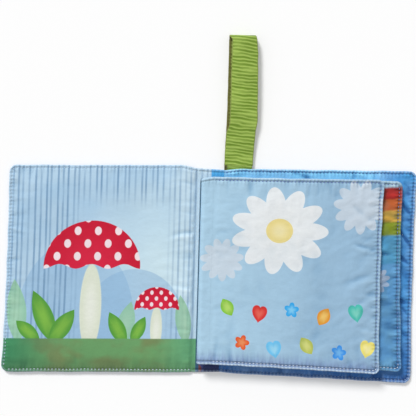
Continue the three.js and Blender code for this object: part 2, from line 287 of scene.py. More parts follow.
def declare(piece: Thing, node: str, body: str | None = None) -> None:
    """Hides the CAD node that a piece stands for, and sets the piece on the body that it rides on, if any."""
    if body:
        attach(piece, body)
    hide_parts(node)


# Shader nodes


def feed(socket: bpy.types.NodeSocket, value: object) -> None:
    """Links a socket to a node's output, or sets it where the value is a constant."""
    if isinstance(value, Value):
        value.tree.links.new(value.socket, socket)
    else:
        socket.default_value = value


def add_node(tree: Tree, kind: str, inputs: dict, output: int | str = 0, **settings: object) -> "Value":
    """Adds a shader node.

    Args:
        tree: The tree that it comes into.
        kind: Blender's name of its type, after ShaderNode.
        inputs: Values or constants for its inputs, by number or name.
        output: The output that is wanted.
        **settings: Its settings by name.

    Returns:
        The output.
    """
    made = tree.nodes.new("ShaderNode" + kind)
    for name, value in settings.items():
        setattr(made, name, value)
    for key, value in inputs.items():
        feed(made.inputs[key], value)
    return Value(tree, made.outputs[output])


def operator(operation: str, swapped: bool = False) -> Callable[["Value", object], "Value"]:
    """Returns an operator's method, which adds a Math node; swapped where the value is its right side."""

    def method(self: "Value", other: object) -> "Value":
        """Adds the Math node and returns its value."""
        pair = (other, self) if swapped else (self, other)
        return add_node(self.tree, "Math", dict(enumerate(pair)), operation=operation)

    return method


@dataclass(frozen=True)
class Value:
    """A node's output that can be reckoned with: its operators and methods add nodes to its tree."""

    tree: Tree
    socket: bpy.types.NodeSocket

    __add__ = operator("ADD")
    __mul__ = operator("MULTIPLY")
    __sub__, __rsub__ = operator("SUBTRACT"), operator("SUBTRACT", True)
    __truediv__, __rtruediv__ = operator("DIVIDE"), operator("DIVIDE", True)

    def math(self, operation: str, *others: object) -> "Value":
        """Returns the value of a Math node that takes this value first."""
        return add_node(self.tree, "Math", dict(enumerate((self, *others))), operation=operation)

    def vector(self, operation: str, *others: object, output: str = "Vector") -> "Value":
        """Returns an output of a Vector Math node that takes this vector first."""
        return add_node(self.tree, "VectorMath", dict(enumerate((self, *others))), output, operation=operation)

    def __abs__(self) -> "Value":
        """Returns the value without its sign."""
        return self.math("ABSOLUTE")

    def scale(self, vector: object) -> "Value":
        """Returns a vector or a colour times this value."""
        return add_node(self.tree, "VectorMath", {0: vector, "Scale": self}, operation="SCALE")

    def length(self) -> "Value":
        """Returns the vector's length."""
        return self.vector("LENGTH", output="Value")

    def split(self) -> list["Value"]:
        """Returns the vector's three values."""
        node = add_node(self.tree, "SeparateXYZ", {0: self}).socket.node
        return [Value(self.tree, socket) for socket in node.outputs]

    def join(self, y: object, z: object = 0.0) -> "Value":
        """Returns the vector of this value and two others."""
        return add_node(self.tree, "CombineXYZ", {0: self, 1: y, 2: z})

    def noise(self, scale: float, detail: float = 2.0, roughness: float = 0.5) -> "Value":
        """Returns a noise from 0 to 1 at this place."""
        inputs = {"Vector": self, "Scale": scale, "Detail": detail, "Roughness": roughness}
        return add_node(self.tree, "TexNoise", inputs)

    def step(self, start: object, end: object) -> "Value":
        """Returns a smooth step from 0 at start to 1 at end."""
        inputs = {"Value": self, "From Min": start, "From Max": end}
        return add_node(self.tree, "MapRange", inputs, interpolation_type="SMOOTHSTEP")

    def fade(self, start: object, end: object) -> "Value":
        """Returns a smooth step from 1 at start to 0 at end."""
        return 1.0 - self.step(start, end)

    def blend(self, low: object, high: object) -> "Value":
        """Returns the colour at this share of the way from low to high."""
        return add_node(self.tree, "Mix", {0: self, 6: low, 7: high}, 2, data_type="RGBA")


def shader_group(name: str, inputs: str, outputs: str) -> Callable:
    """Makes a shader node group out of a function of its inputs.

    Args:
        name: The group's name.
        inputs: The names of its inputs, of which Page is a vector.
        outputs: The names of its outputs.

    Returns:
        A decorator. The function that it gives takes the inputs, builds the group where it isn't there yet, places
        it in the tree of the first input and returns the group's outputs.
    """

    def make_tree(build: Callable[..., Sequence[Value]]) -> Tree:
        """Returns the new group, built by the function."""
        tree = bpy.data.node_groups.new(name, "ShaderNodeTree")
        for way, labels in (("INPUT", inputs), ("OUTPUT", outputs)):
            for label in labels.split():
                kind = "NodeSocketVector" if label == "Page" else "NodeSocketFloat"
                tree.interface.new_socket(label, in_out=way, socket_type=kind)
        entry, end = tree.nodes.new("NodeGroupInput"), tree.nodes.new("NodeGroupOutput")
        results = build(*(Value(tree, entry.outputs[label]) for label in inputs.split()))
        for label, result in zip(outputs.split(), results):
            feed(end.inputs[label], result)
        return tree

    def decorate(build: Callable[..., Sequence[Value]]) -> Callable[..., list[Value]]:
        """Returns the function that places the group."""

        def place(first: Value, *others: object) -> list[Value]:
            """Places the group and returns its outputs."""
            node = first.tree.nodes.new("ShaderNodeGroup")
            node.node_tree = bpy.data.node_groups.get(name) or make_tree(build)
            for socket, value in zip(node.inputs, (first, *others)):
                feed(socket, value)
            return [Value(first.tree, socket) for socket in node.outputs]

        return place

    return decorate


@shader_group("Cloth_Weave", "Page Pitch", "Height Slub")
def weave(page: Value, pitch: Value) -> Sequence[Value]:
    """Returns the height of a plain weave, with threads over and under each other, and its slubs."""
    x, y, _ = (math.pi / pitch).scale(page).split()
    warp, weft = x.math("SINE"), y.math("SINE")
    over = (warp * weft).math("GREATER_THAN", 0.0)
    slub = page.vector("MULTIPLY", (0.35, 3.0, 1.0)).noise(1.0, 3.0)
    return abs(warp) * over + abs(weft) * (1.0 - over), slub


@shader_group("Cloth_Mottle", "Page Size", "Tone")
def mottle(page: Value, size: Value) -> Sequence[Value]:
    """Returns the soft unevenness of dye and handling on cloth."""
    place = (1.0 / size).scale(page)
    return (place.noise(1.0) * 0.65 + place.noise(6.0, 4.0, 0.6) * 0.35,)


@shader_group("Cloth_Crumple", "Page Size", "Height")
def crackle(page: Value, size: Value) -> Sequence[Value]:
    """Returns the height of fine sharp creases, as of handled cloth over crinkle film."""
    place = (1.0 / size).scale(page)
    return (abs(place.noise(1.0, 1.0) - 0.5) * 2.0 + abs(place.noise(2.7, 1.0) - 0.5) * 0.8,)


@shader_group("Seam_Line", "Page Along Inset", "Line Wave Rim")
def seam(page: Value, along: Value, inset: Value) -> Sequence[Value]:
    """Returns a topstitched edge: its pulled-in line, the puffs between its stitches and its folded rim."""
    _, _, edge = page.split()
    off = abs(edge - inset)
    wave = (along * (2 * math.pi / STITCH_PITCH)).math("COSINE") * 0.5 + 0.5
    return off.fade(0.0, 1.3), wave * off.fade(0.3, 5.0), edge.fade(0.8, 2.1)


@shader_group("Print_Dots", "Page Pitch Radius", "Mask")
def polka_dots(page: Value, pitch: Value, radius: Value) -> Sequence[Value]:
    """Returns the mask of rows of round dots, each row set off by half a pitch."""
    x, y, _ = page.vector("DIVIDE", pitch.join(pitch, 1.0)).split()
    tall = y * 0.8
    cells = (
        ((x + shift).math("FRACT") - 0.5).join((tall + shift).math("FRACT") - 0.5).length()
        for shift in (100.0, 100.5)
    )
    reach = next(cells).math("MINIMUM", next(cells)) * pitch
    return (reach.fade(radius - 0.3, radius + 0.3),)


@shader_group("Print_Stripes", "Page Pitch Width", "Mask")
def fine_stripes(page: Value, pitch: Value, width: Value) -> Sequence[Value]:
    """Returns the mask of fine upright stripes, each a little off its place and of its own strength."""
    run = page.split()[0] / pitch
    chance = add_node(page.tree, "TexWhiteNoise", {"W": run.math("FLOOR")}, "Color", noise_dimensions="1D")
    shift, force, _ = chance.split()
    away = abs(run.math("FRACT") - (shift * 0.4 + 0.3)) * pitch
    ink = page.vector("MULTIPLY", (0.2, 0.03, 0.0)).noise(1.0).step(0.15, 0.55)
    return (away.fade(width * 0.3, width) * ((force * 0.5 + 0.5) * ink),)


def shape_group(name: str, habit: str = "") -> Callable:
    """Makes the node group of a printed shape out of a function of the place in the shape's own square.

    Args:
        name: The group's name.
        habit: The names of the shape's own inputs, such as the number of its petals.

    Returns:
        A decorator for a function that takes the place, from -1 to 1, and the shape's own inputs, and gives 0 at the
        shape's middle and 1 on its outline. The group's outputs are its mask and the depth inside its outline.
    """

    def decorate(reach: Callable[..., Value]) -> Callable[..., list[Value]]:
        """Returns the function that places the group."""

        @shader_group(name, "Page Centre_X Centre_Y Half_Width Half_Height Turn " + habit, "Mask Depth")
        def build(
            page: Value, centre_x: Value, centre_y: Value, wide: Value, high: Value, turn: Value, *others: Value
        ) -> Sequence[Value]:
            """Brings the page's place into the shape's square and masks the shape."""
            flat = page.vector("SUBTRACT", centre_x.join(centre_y)).vector("MULTIPLY", (1.0, 1.0, 0.0))
            inputs = {"Vector": flat, "Angle": turn * -1.0}
            turned = add_node(page.tree, "VectorRotate", inputs, rotation_type="Z_AXIS")
            far = reach(turned.vector("DIVIDE", wide.join(high, 1.0)), *others)
            soft = 0.3 / wide.math("MINIMUM", high)
            return far.fade(1.0 - soft, soft + 1.0), (1.0 - far).math("MAXIMUM", 0.0)

        return build

    return decorate


@shape_group("Print_Oval")
def oval(place: Value) -> Value:
    """Returns the reach of an oval."""
    return place.length()


@shape_group("Print_Heart")
def heart(place: Value) -> Value:
    """Returns the reach of a heart, a circle that is bent up at both sides."""
    x, y, _ = place.split()
    lift = abs(x).math("MAXIMUM", 0.0001).math("SQRT") * 0.62
    return x.join(y + 0.25 - lift).length()


@shape_group("Print_Leaf")
def pointed_leaf(place: Value) -> Value:
    """Returns the reach of a leaf, which narrows to a point at both ends."""
    x, y, _ = place.split()
    return (abs(x) / (1.0 - y * y).math("MAXIMUM", 0.02)).math("MAXIMUM", abs(y))


@shape_group("Print_Rosette", "Petals Dip")
def rosette(place: Value, petals: Value, dip: Value) -> Value:
    """Returns the reach of a daisy or a rounded star, a circle with a waved outline."""
    x, y, _ = place.split()
    turn = y.math("ARCTAN2", x) * petals
    return place.length() / (1.0 - (1.0 - abs((turn * 0.5).math("COSINE"))) * dip)


# Prints


class Motif(Enum):
    """Generic shapes that a print is made of: each one's node group and its own inputs."""

    OVAL = (oval,)
    HEART = (heart,)
    LEAF = (pointed_leaf,)
    STAR = (rosette, 5.0, 0.42)
    DAISY = (rosette, 11.0, 0.3)


@dataclass(frozen=True)
class Mark:
    """One printed shape: where it is on the page, its half sizes in millimetres, its inks and its turn in degrees."""

    motif: Motif
    x: float
    y: float
    half_width: float
    half_height: float
    ink: Colour
    glow: Colour
    turn: float = 0.0
    strength: float = 1.0

    def mask(self, page: Value) -> list[Value]:
        """Returns the shape's mask and the depth inside its outline."""
        place, *habit = self.motif.value
        return place(page, self.x, self.y, self.half_width, self.half_height, math.radians(self.turn), *habit)

    def over(self, page: Value, ground: Value) -> Value:
        """Prints the shape over a ground colour.

        Args:
            page: The place on the cloth.
            ground: The colour so far.

        Returns:
            The colour with the shape on it.
        """
        mask, depth = self.mask(page)
        ink = depth.step(0.1, 0.9).blend(self.ink, self.glow)
        return (mask * self.strength).blend(ground, ink)


class Print:
    """The colour of a cloth over its page."""

    def colour(self, page: Value) -> Value:
        """Returns the print's colour at a place on the cloth."""
        raise NotImplementedError


@dataclass(frozen=True)
class PlainPrint(Print):
    """One dyed colour that shades to another from the bottom edge to the top edge."""

    low: Colour = srgb(52, 130, 200)
    high: Colour = srgb(66, 146, 214)
    half_height: float = 80.0

    def colour(self, page: Value) -> Value:
        """Returns the shaded colour over the page."""
        return page.split()[1].step(-self.half_height, self.half_height).blend(self.low, self.high)


@dataclass(frozen=True)
class StripedPrint(Print):
    """Broad stripes of two colours, for the pages that the photo doesn't show."""

    ground: Colour = srgb(150, 202, 236)
    stripe: Colour = srgb(118, 182, 226)
    pitch: float = 14.0

    def colour(self, page: Value) -> Value:
        """Returns the striped colour over the page."""
        share = ((page.split()[1] + 50 * self.pitch) / self.pitch).math("FRACT")
        return abs(share - 0.5).step(0.23, 0.27).blend(self.ground, self.stripe)


@dataclass(frozen=True)
class BandedPrint(Print):
    """Bands of colour from the top of the page down, each with its lower end, and a pale patch."""

    bands: tuple[tuple[float, Colour], ...] = (
        (68.6, srgb(172, 206, 228)),
        (59.6, srgb(166, 40, 38)),
        (50.9, srgb(196, 98, 47)),
        (41.9, srgb(215, 170, 70)),
        (31.7, srgb(133, 150, 33)),
        (10, srgb(80, 156, 202)),
    )
    last: Colour = srgb(94, 156, 208)
    wash: Colour = srgb(96, 130, 120)
    patch: Mark = Mark(Motif.DAISY, 130.0, -3.0, 12.5, 11.0, srgb(168, 184, 206), srgb(188, 198, 212), 12.0, 0.8)

    def colour(self, page: Value) -> Value:
        """Returns the banded colour at a place on the page."""
        x, y, _ = page.split()
        height = x * -0.07 + y + (page.noise(0.15, 1.0) * 1.6 + 9.8)
        colour = self.last
        for end, ink in reversed(self.bands):
            colour = height.step(end - 0.5, end + 1.7).blend(colour, ink)
        washed = (page.noise(0.07, 3.0).step(0.36, 0.66) * 0.2).blend(colour, self.wash)
        return self.patch.over(page, washed)


@dataclass(frozen=True)
class MeadowPrint(Print):
    """The front cover's page: fine stripes, a green ground and dotted toadstools between leaves."""

    sky: Colour = srgb(174, 208, 234)
    line: Colour = srgb(118, 156, 192)
    hill: Colour = srgb(142, 186, 224)
    grass: Colour = srgb(110, 164, 106)
    grass_dark: Colour = srgb(62, 140, 96)
    cap: Colour = srgb(206, 14, 52)
    cap_glow: Colour = srgb(222, 28, 66)
    dot: Colour = srgb(250, 232, 238)
    stem: Colour = srgb(226, 233, 214)
    ground_y: float = -54.5

    GLOW = (-38, 0, 66, 88)
    HILLS = ((-104, -40, 46, 62), (-58, -44, 40, 44))
    STEMS = ((-92, -30, 8.5, 34), (-40, -46, 4.6, 17))
    CAPS = ((-92, 2, 38, 36), (-40, -31, 17.5, 17))
    PALE_LEAVES = (
        (-150, -34, 8, 26, 6),
        (-64, -44, 7, 19, -12),
        (-19, -40, 6, 20, 8),
    )
    LEAVES = (
        (-128, -38, 7.5, 23, 24),
        (-114, -46, 7, 17, -34),
        (-70, -47, 6, 15, 28),
        (-140, -49, 5.5, 13, 50),
        (-54, -48, 5, 12, -26),
    )

    def toadstool(self, page: Value, ground: Value, stem: Sequence[float], cap: Sequence[float]) -> Value:
        """Prints a toadstool over a ground colour.

        Args:
            page: The place on the cloth.
            ground: The colour so far.
            stem: Middle and half sizes of its stem.
            cap: Middle of its cap's straight underside, and the cap's half width and height.

        Returns:
            The colour with the toadstool on it.
        """
        middle, underside, half_width, height = cap
        x, y, _ = page.split()
        colour = Mark(Motif.OVAL, *stem, self.stem, srgb(238, 242, 230)).over(page, ground)
        dome, depth = Mark(Motif.OVAL, *cap, self.cap, self.cap_glow).mask(page)
        sag = ((x - middle) * (9.4 / half_width)).math("COSINE") * (0.05 * height)
        above = (y - sag).step(underside - 0.3, underside + 0.3)
        red = depth.step(0.0, 0.8).blend(self.cap, self.cap_glow)
        dots = polka_dots(page, 0.42 * half_width, 0.065 * half_width + 0.2)[0]
        return (dome * above).blend(colour, dots.blend(red, self.dot))

    def backdrop(self, page: Value) -> Value:
        """Returns the colour behind the leaves and toadstools: a sky that is paler on the right, hills and stripes."""
        x, y, _ = page.split()
        colour = page.noise(0.02).step(0.35, 0.65).blend(self.sky, srgb(184, 214, 236))
        _, glow = Mark(Motif.OVAL, *self.GLOW, self.sky, self.sky).mask(page)
        colour = glow.blend(colour, srgb(212, 237, 247))
        colour = (x.step(-36.0, -16.0) * 0.5).blend(colour, srgb(222, 244, 254))
        for hill in self.HILLS:
            colour = Mark(Motif.OVAL, *hill, self.hill, self.hill, strength=0.5).over(page, colour)
        wear_and_fold_shade = 1.0 - abs(x + 68.0).fade(30.0, 46.0) * y.fade(44.0, 68.0)
        ink = x.step(-60.0, -24.0) * -0.2 + 0.9
        return (fine_stripes(page, 4.4, 1.15)[0] * (wear_and_fold_shade * ink)).blend(colour, self.line)

    def ground(self, page: Value) -> Value:
        """Returns the colour of the grass, which is dark at its foot and on the left and bright on the right."""
        x, y, _ = page.split()
        grass = page.noise(0.035, 3.0).step(0.4, 0.62).blend(self.grass, srgb(120, 142, 92))
        grass = x.step(-160.0, -110.0).blend(self.grass_dark, grass)
        grass = x.step(-44.0, -14.0).blend(grass, srgb(108, 176, 126))
        return (y.step(-80.0, -66.0) * 0.5 + 0.5).blend(srgb(74, 108, 74), grass)

    def colour(self, page: Value) -> Value:
        """Returns the meadow's colour at a place on the page."""
        colour = self.backdrop(page)
        for *place, turn in self.PALE_LEAVES:
            leaf = Mark(Motif.LEAF, *place, srgb(150, 204, 160), srgb(164, 210, 168), turn, 0.8)
            colour = leaf.over(page, colour)
        for stem, cap in zip(self.STEMS, self.CAPS):
            colour = self.toadstool(page, colour, stem, cap)
        for *place, turn in self.LEAVES:
            colour = Mark(Motif.LEAF, *place, srgb(88, 160, 62), srgb(128, 188, 72), turn).over(page, colour)
        above = page.split()[1].step(self.ground_y - 0.5, self.ground_y + 0.5)
        return above.blend(self.ground(page), colour)


@dataclass(frozen=True)
class DuskPrint(Print):
    """The back cover's page: a blue that is bright above and dark below, with paler clouds, painted shade in its lower
    right, and upright painted highlights of puckers along the bottom.
    """

    bottom: Colour = srgb(56, 102, 184)
    middle: Colour = srgb(74, 150, 216)
    top: Colour = srgb(132, 206, 248)
    corner: Colour = srgb(70, 156, 222)
    # Painted shade in the lower right
    deep: Colour = srgb(34, 98, 172)
    pale: Colour = srgb(150, 188, 232)
    pucker_highlight: Colour = srgb(120, 160, 212)

    def colour(self, page: Value) -> Value:
        """Returns the dusk's colour at a place on the page."""
        x, y, _ = page.split()
        colour = y.step(-84.0, -66.0).blend(self.bottom, self.middle)
        colour = y.step(60.0, 80.0).blend(colour, x.step(118.0, 146.0).blend(self.top, self.corner))
        colour = (page.noise(0.035).step(0.42, 0.74) * 0.4).blend(colour, self.pale)
        # Painted shade: darker in the lower right
        colour = (x.step(120.0, 150.0) * y.fade(-62.0, -30.0) * 0.6).blend(colour, self.deep)
        # Painted highlight: lighter upright marks for the puckers along the bottom edge
        streak = page.vector("MULTIPLY", (0.45, 0.05, 0.0)).noise(1.0, 3.0).step(0.46, 0.66)
        return (streak * y.fade(-79.0, -72.0) * 0.6).blend(colour, self.pucker_highlight)


@dataclass(frozen=True)
class SpinePrint(Print):
    """The spine's lining: the meadow's stripes on the left, a bright blue on the right, dark at the foot, and a
    painted shadow down the gap beside leaf 1's roll.
    """

    meadow: Print = MeadowPrint()
    bright: Colour = srgb(82, 176, 236)
    # Painted shadow of the gap between the front page and leaf 1's roll
    gap: Colour = srgb(50, 90, 118)
    foot: Colour = srgb(62, 72, 122)
    spot: Colour = srgb(112, 62, 62)

    def colour(self, page: Value) -> Value:
        """Returns the lining's colour at a place on its page."""
        x, y, _ = page.split()
        colour = x.step(-0.6, 0.6).blend(self.meadow.colour(page), self.bright)
        foot = Mark(Motif.OVAL, -7.0, -79.0, 3.4, 4.0, self.spot, self.spot).over(page, self.foot)
        colour = (y.fade(-62.0, -54.0) * x.step(-8.6, -7.6)).blend(colour, foot)
        # Painted shadow: a dark line down the gap beside leaf 1's roll
        return (abs(x + 7.3).fade(0.9, 1.7) * y.fade(70.0, 75.0)).blend(colour, self.gap)


@dataclass(frozen=True)
class SkyPrint(Print):
    """The first leaf's page: a large white daisy and a scatter of small bright shapes, with painted shade towards the
    right edge and along the bottom edge.
    """

    sky: Colour = srgb(176, 212, 235)
    shaded_right_sky: Colour = srgb(156, 192, 220)
    white: Colour = srgb(236, 241, 244)
    pale: Colour = srgb(214, 224, 234)
    low_edge_shade: Colour = srgb(126, 150, 194)

    LARGE = (54.0, 34.0)
    SMALL = (
        (Motif.LEAF, 15, -27, (140, 204, 66), (186, 226, 110), 30),
        (Motif.HEART, 40, -31, (222, 50, 46), (238, 104, 88), -8),
        (Motif.STAR, 65, -27, (50, 172, 240), (130, 208, 248), 14),
        (Motif.LEAF, 90, -31, (242, 160, 46), (250, 204, 110), -28),
        (Motif.HEART, 115, -27, (74, 190, 176), (128, 216, 200), 10),
        (Motif.STAR, 27, -54, (236, 96, 44), (246, 150, 96), 0),
        (Motif.HEART, 52, -58, (112, 200, 246), (160, 222, 250), 12),
        (Motif.LEAF, 77, -54, (190, 200, 92), (216, 220, 130), 34),
        (Motif.STAR, 102, -58, (60, 150, 236), (120, 190, 246), 8),
        (Motif.HEART, 124, -54, (246, 232, 120), (250, 242, 170), -12),
    )

    def colour(self, page: Value) -> Value:
        """Returns the sky's colour, with the shapes on it, at a place on the page."""
        x, y, _ = page.split()
        # Painted shade: the sky darker towards the right edge, where the page curves down
        colour = x.step(0.0, 124.0).blend(self.sky, self.shaded_right_sky)
        # Painted shade: a violet band along the bottom edge, where the cloth curves down into the seam
        streak = page.vector("MULTIPLY", (0.4, 0.04, 0.0)).noise(1.0)
        colour = (streak * -9.0 + y).fade(-78.0, -64.0).blend(colour, self.low_edge_shade)
        marks = [
            Mark(Motif.DAISY, *place, radius, radius, self.pale, self.pale, 10.0, 0.75)
            for place, radius in (((10.0, 10.0), 17.0), ((116.0, 54.0), 21.0))
        ]
        marks.append(Mark(Motif.DAISY, *self.LARGE, 38.0, 34.0, self.white, srgb(240, 244, 245)))
        marks.append(Mark(Motif.OVAL, *self.LARGE, 10.5, 9.5, srgb(244, 226, 150), srgb(248, 236, 180)))
        for motif, place, height, ink, glow, turn in self.SMALL:
            sizes = (5.0, 7.5) if motif is Motif.LEAF else (5.8, 6.0)
            marks.append(Mark(motif, place, height, *sizes, srgb(*ink), srgb(*glow), turn))
        for mark in marks:
            colour = mark.over(page, colour)
        return colour


# Finishes


class Surface:
    """A material in the making: the places on its cloth, and what its shader is fed with."""

    def __init__(self, name: str) -> None:
        """Makes the material."""
        self.material = bpy.data.materials.new(name)
        self.material.use_nodes = True
        self.tree = self.material.node_tree
        self.page = self.kept("page", "Vector")

    def kept(self, name: str, output: str = "Fac") -> Value:
        """Returns what each vertex keeps under a name."""
        return add_node(self.tree, "Attribute", {}, output, attribute_name=name)

    def finish(self, colour: Value, roughness: Value, height: Value, **constants: float) -> Material:
        """Feeds the shader.

        Args:
            colour: The colour.
            roughness: The roughness.
            height: The fine relief, in millimetres.
            **constants: Other inputs, with underscores for the spaces in their names.

        Returns:
            The material.
        """
        shader = self.tree.nodes["Principled BSDF"]
        bump = add_node(self.tree, "Bump", {"Distance": MM, "Height": height})
        for label, value in (("Base Color", colour), ("Roughness", roughness), ("Normal", bump)):
            feed(shader.inputs[label], value)
        for label, value in constants.items():
            shader.inputs[label.replace("_", " ")].default_value = value
        return self.material


def uneven(share: Value, strength: float) -> Value:
    """Returns a factor round 1 that swings with a noise from 0 to 1."""
    return (share - 0.5) * strength + 1.0


@dataclass(frozen=True)
class ClothFinish:
    """Printed cotton: its print, weave, creases, stitched edge and sheen."""

    name: str
    art: Print
    inset: float = 2.6
    mottle: float = 0.2
    crumple: float = 0.24
    crumple_size: float = 16.0
    roughness: float = 0.70
    sheen: float = 0.15
    # Strengths of the painted highlight on the rounded rim, all round and more on the lower edge's puffs
    rim: float = 0.25
    bead_highlight: float = 0.0
    # How deep the seam's groove is in the bump, and how much painted shade darkens it
    groove: float = 0.22
    puff: float = 0.28
    # How strongly painted shade darkens the folds and a painted highlight lightens the ridges
    fold: float = 0.3
    rim_highlight: Colour = srgb(204, 226, 247)

    def build(self) -> Material:
        """Makes the material: the print, with painted shade, darker and bluer, in its folds and a painted highlight on
        its ridges, painted shade along the seam's groove, and a pale stitched rim of painted highlight.

        Returns:
            The material.
        """
        surface = Surface(self.name)
        page = surface.page
        tone = mottle(page, 34.0)[0]
        height, slub = weave(page, 0.55)
        line, wave, rim = seam(page, surface.kept("along"), self.inset)
        # Painted shade: the cloth darker along the seam's groove
        value = uneven(tone, self.mottle) * uneven(slub, 0.1) * (1.0 - line * self.groove)
        # Painted shade: darker and bluer where the cloth lies deep in a fold, and a painted highlight on the ridges
        fold = surface.kept("fold")
        wear_and_fold_shade = 1.0 - fold.step(0.05, 1.1) * self.fold + fold.step(-0.05, -0.9) * (self.fold * 0.6)
        cast = wear_and_fold_shade.math("POWER", 1.4).join(wear_and_fold_shade, wear_and_fold_shade.math("POWER", 0.7))
        shaded = value.scale(self.art.colour(page)).vector("MULTIPLY", cast)
        # Painted highlight: a pale rim along the rounded edge, brightest on the puffs between stitches and along the
        # lower edge
        low = page.split()[1].fade(-72.0, -66.0)
        rim = rim * (wave * 0.9 + 0.5) * (low * self.bead_highlight + self.rim)
        colour = rim.math("MINIMUM", 1.0).blend(shaded, self.rim_highlight)
        height = height * 0.03 + wave * self.puff - line * (2 * self.groove)
        height = height + crackle(page, self.crumple_size)[0] * self.crumple
        rough = tone * 0.16 + self.roughness
        return surface.finish(
            colour, rough, height, Sheen_Weight=self.sheen, Sheen_Roughness=0.45, Specular_IOR_Level=0.3
        )


@dataclass(frozen=True)
class RibbedFinish:
    """The strap's ribbed cloth: ribs that run across it, with painted highlight on the ribs and painted shade in the
    grooves between them.
    """

    name: str
    light: Colour = srgb(176, 204, 98)
    dark: Colour = srgb(116, 148, 46)
    # The hems' brown, also used for the painted shade on the lower layer's left side
    edge: Colour = srgb(104, 92, 48)
    left: float = 10.6
    right: float = 32.1
    fold: float = 105.0

    def build(self) -> Material:
        """Makes the material: ribs with painted highlight on them and painted shade in their grooves, brown hems, and
        painted shade in the hems' brown on the left side of the layer underneath.

        Returns:
            The material.
        """
        surface = Surface(self.name)
        page = surface.page
        x, run, groove = page.split()
        tone = mottle(page, 18.0)[0]
        height, slub = weave(page, 0.6)
        hem = (x - self.left).math("MINIMUM", self.right - x).fade(0.2, 0.9) * 0.5
        # Painted shade: the lower layer's left side, in the shade of the upper layer
        under = run.fade(self.fold - 3.0, self.fold) * (x - self.left).fade(1.6, 3.0) * 0.85
        # Painted highlight on the ribs and painted shade in the grooves between them
        ribs = groove.step(0.1, 0.9).blend(self.light, self.dark)
        colour = hem.math("MAXIMUM", under).blend(ribs, self.edge)
        colour = (uneven(tone, 0.5) * uneven(slub, 0.25)).scale(colour)
        rough = tone * 0.12 + 0.8
        return surface.finish(
            colour, rough, height * 0.06, Sheen_Weight=0.25, Sheen_Roughness=0.5, Specular_IOR_Level=0.25
        )


@dataclass(frozen=True)
class ThreadFinish:
    """Twisted sewing thread, with a painted highlight that makes it lighter along the lower edge."""

    name: str
    ink: Colour = srgb(112, 134, 196)
    low_edge_highlight_ink: Colour = srgb(214, 226, 244)
    change_y: float = -66.0

    def build(self) -> Material:
        """Makes the material, fluffy and a little uneven.

        Returns:
            The material.
        """
        surface = Surface(self.name)
        # Painted highlight: the thread lighter along the lower edge
        change = surface.page.split()[1].step(self.change_y - 3.0, self.change_y + 3.0)
        fluff = surface.page.noise(1.4, 3.0)
        colour = uneven(fluff, 0.4).scale(change.blend(self.low_edge_highlight_ink, self.ink))
        return surface.finish(colour, fluff * 0.2 + 0.5, surface.page.noise(4.0) * 0.1, Sheen_Weight=0.3)


@dataclass(frozen=True)
class FillingFinish:
    """Wadding or crinkle film: matt fibres, or a thin sheet full of small creases."""

    name: str
    colour: Colour
    roughness: float
    grain: float
    size: float

    def build(self) -> Material:
        """Makes the material, with creases of the filling's own size.

        Returns:
            The material.
        """
        surface = Surface(self.name)
        tone = mottle(surface.page, self.size)[0]
        creases = crackle(surface.page, self.size)[0]
        colour = (tone * 0.16 + 0.9).scale(self.colour[:3])
        return surface.finish(colour, tone * 0.1 + self.roughness, creases * self.grain)


class Finishes:
    """Every finish of the book, each made once."""

    def __init__(self) -> None:
        """Makes the materials."""
        meadow = ClothFinish("meadow_page", MeadowPrint(), inset=2.2, groove=0.06, puff=0.2, rim=0.2)
        self.meadow = meadow.build()
        self.spine = ClothFinish("spine_page", SpinePrint(), inset=2.2).build()
        self.sky = ClothFinish("sky_page", SkyPrint(), crumple=0.3, rim=0.35, bead_highlight=0.65).build()
        bands = ClothFinish("banded_page", BandedPrint(), crumple=0.4, rim=0.12, puff=0.45, fold=0.5)
        self.bands = bands.build()
        self.aqua = ClothFinish("aqua_page", StripedPrint()).build()
        blue = ClothFinish("blue_cloth", DuskPrint(), crumple=0.45, inset=2.2, rim=0.35, puff=0.4, fold=0.6)
        self.blue = blue.build()
        self.outer = ClothFinish("blue_outer_cloth", PlainPrint(), inset=2.2, crumple=0.4).build()
        self.ribbed = RibbedFinish("green_ribbed_cloth").build()
        self.thread = ThreadFinish("leaf_thread").build()
        self.pale_thread = ThreadFinish("front_thread", srgb(186, 210, 232), change_y=-74.0).build()
        self.blue_thread = ThreadFinish("back_thread", srgb(62, 104, 172), srgb(128, 160, 208)).build()
        self.wadding = FillingFinish("white_wadding", srgb(244, 244, 240), 0.9, 0.4, 3.0).build()
        self.film = FillingFinish("crinkle_film", srgb(226, 234, 242), 0.3, 0.5, 7.0).build()


# Padded panels


class Face(Enum):
    """The two faces of a panel."""

    TOP = 1
    UNDER = -1


class Lie(Enum):
    """How a panel lies, flat on the table or free, with its thickness, corner radius and seam inset."""

    ON_TABLE = (5.0, 6.0, 2.2)
    FREE = (4.5, 5.0, 2.6)


@dataclass(frozen=True)
class Crease:
    """A fold in a panel's top face, from one place of the page to another: a dent with a low ridge beside it."""

    start_x: float
    start_y: float
    end_x: float
    end_y: float
    depth: float
    width: float
    bow: float

    RIDGE_WAY = 1.9
    RIDGE_SHARE = 0.55

    def relief(self, x: Array, y: Array) -> Array:
        """Returns the height that the fold adds at the given places of the page."""
        run_x, run_y = self.end_x - self.start_x, self.end_y - self.start_y
        away_x, away_y = x - self.start_x, y - self.start_y
        length = math.hypot(run_x, run_y)
        along = (away_x * run_x + away_y * run_y) / length**2
        aside = (away_y * run_x - away_x * run_y) / length - self.bow * np.sin(math.pi * np.clip(along, 0, 1))
        taper = eased(along / 0.22) * eased((1 - along) / 0.45)
        ridge = bell(aside - self.RIDGE_WAY * self.width, self.width)
        return taper * self.depth * (self.RIDGE_SHARE * ridge - bell(aside, self.width))


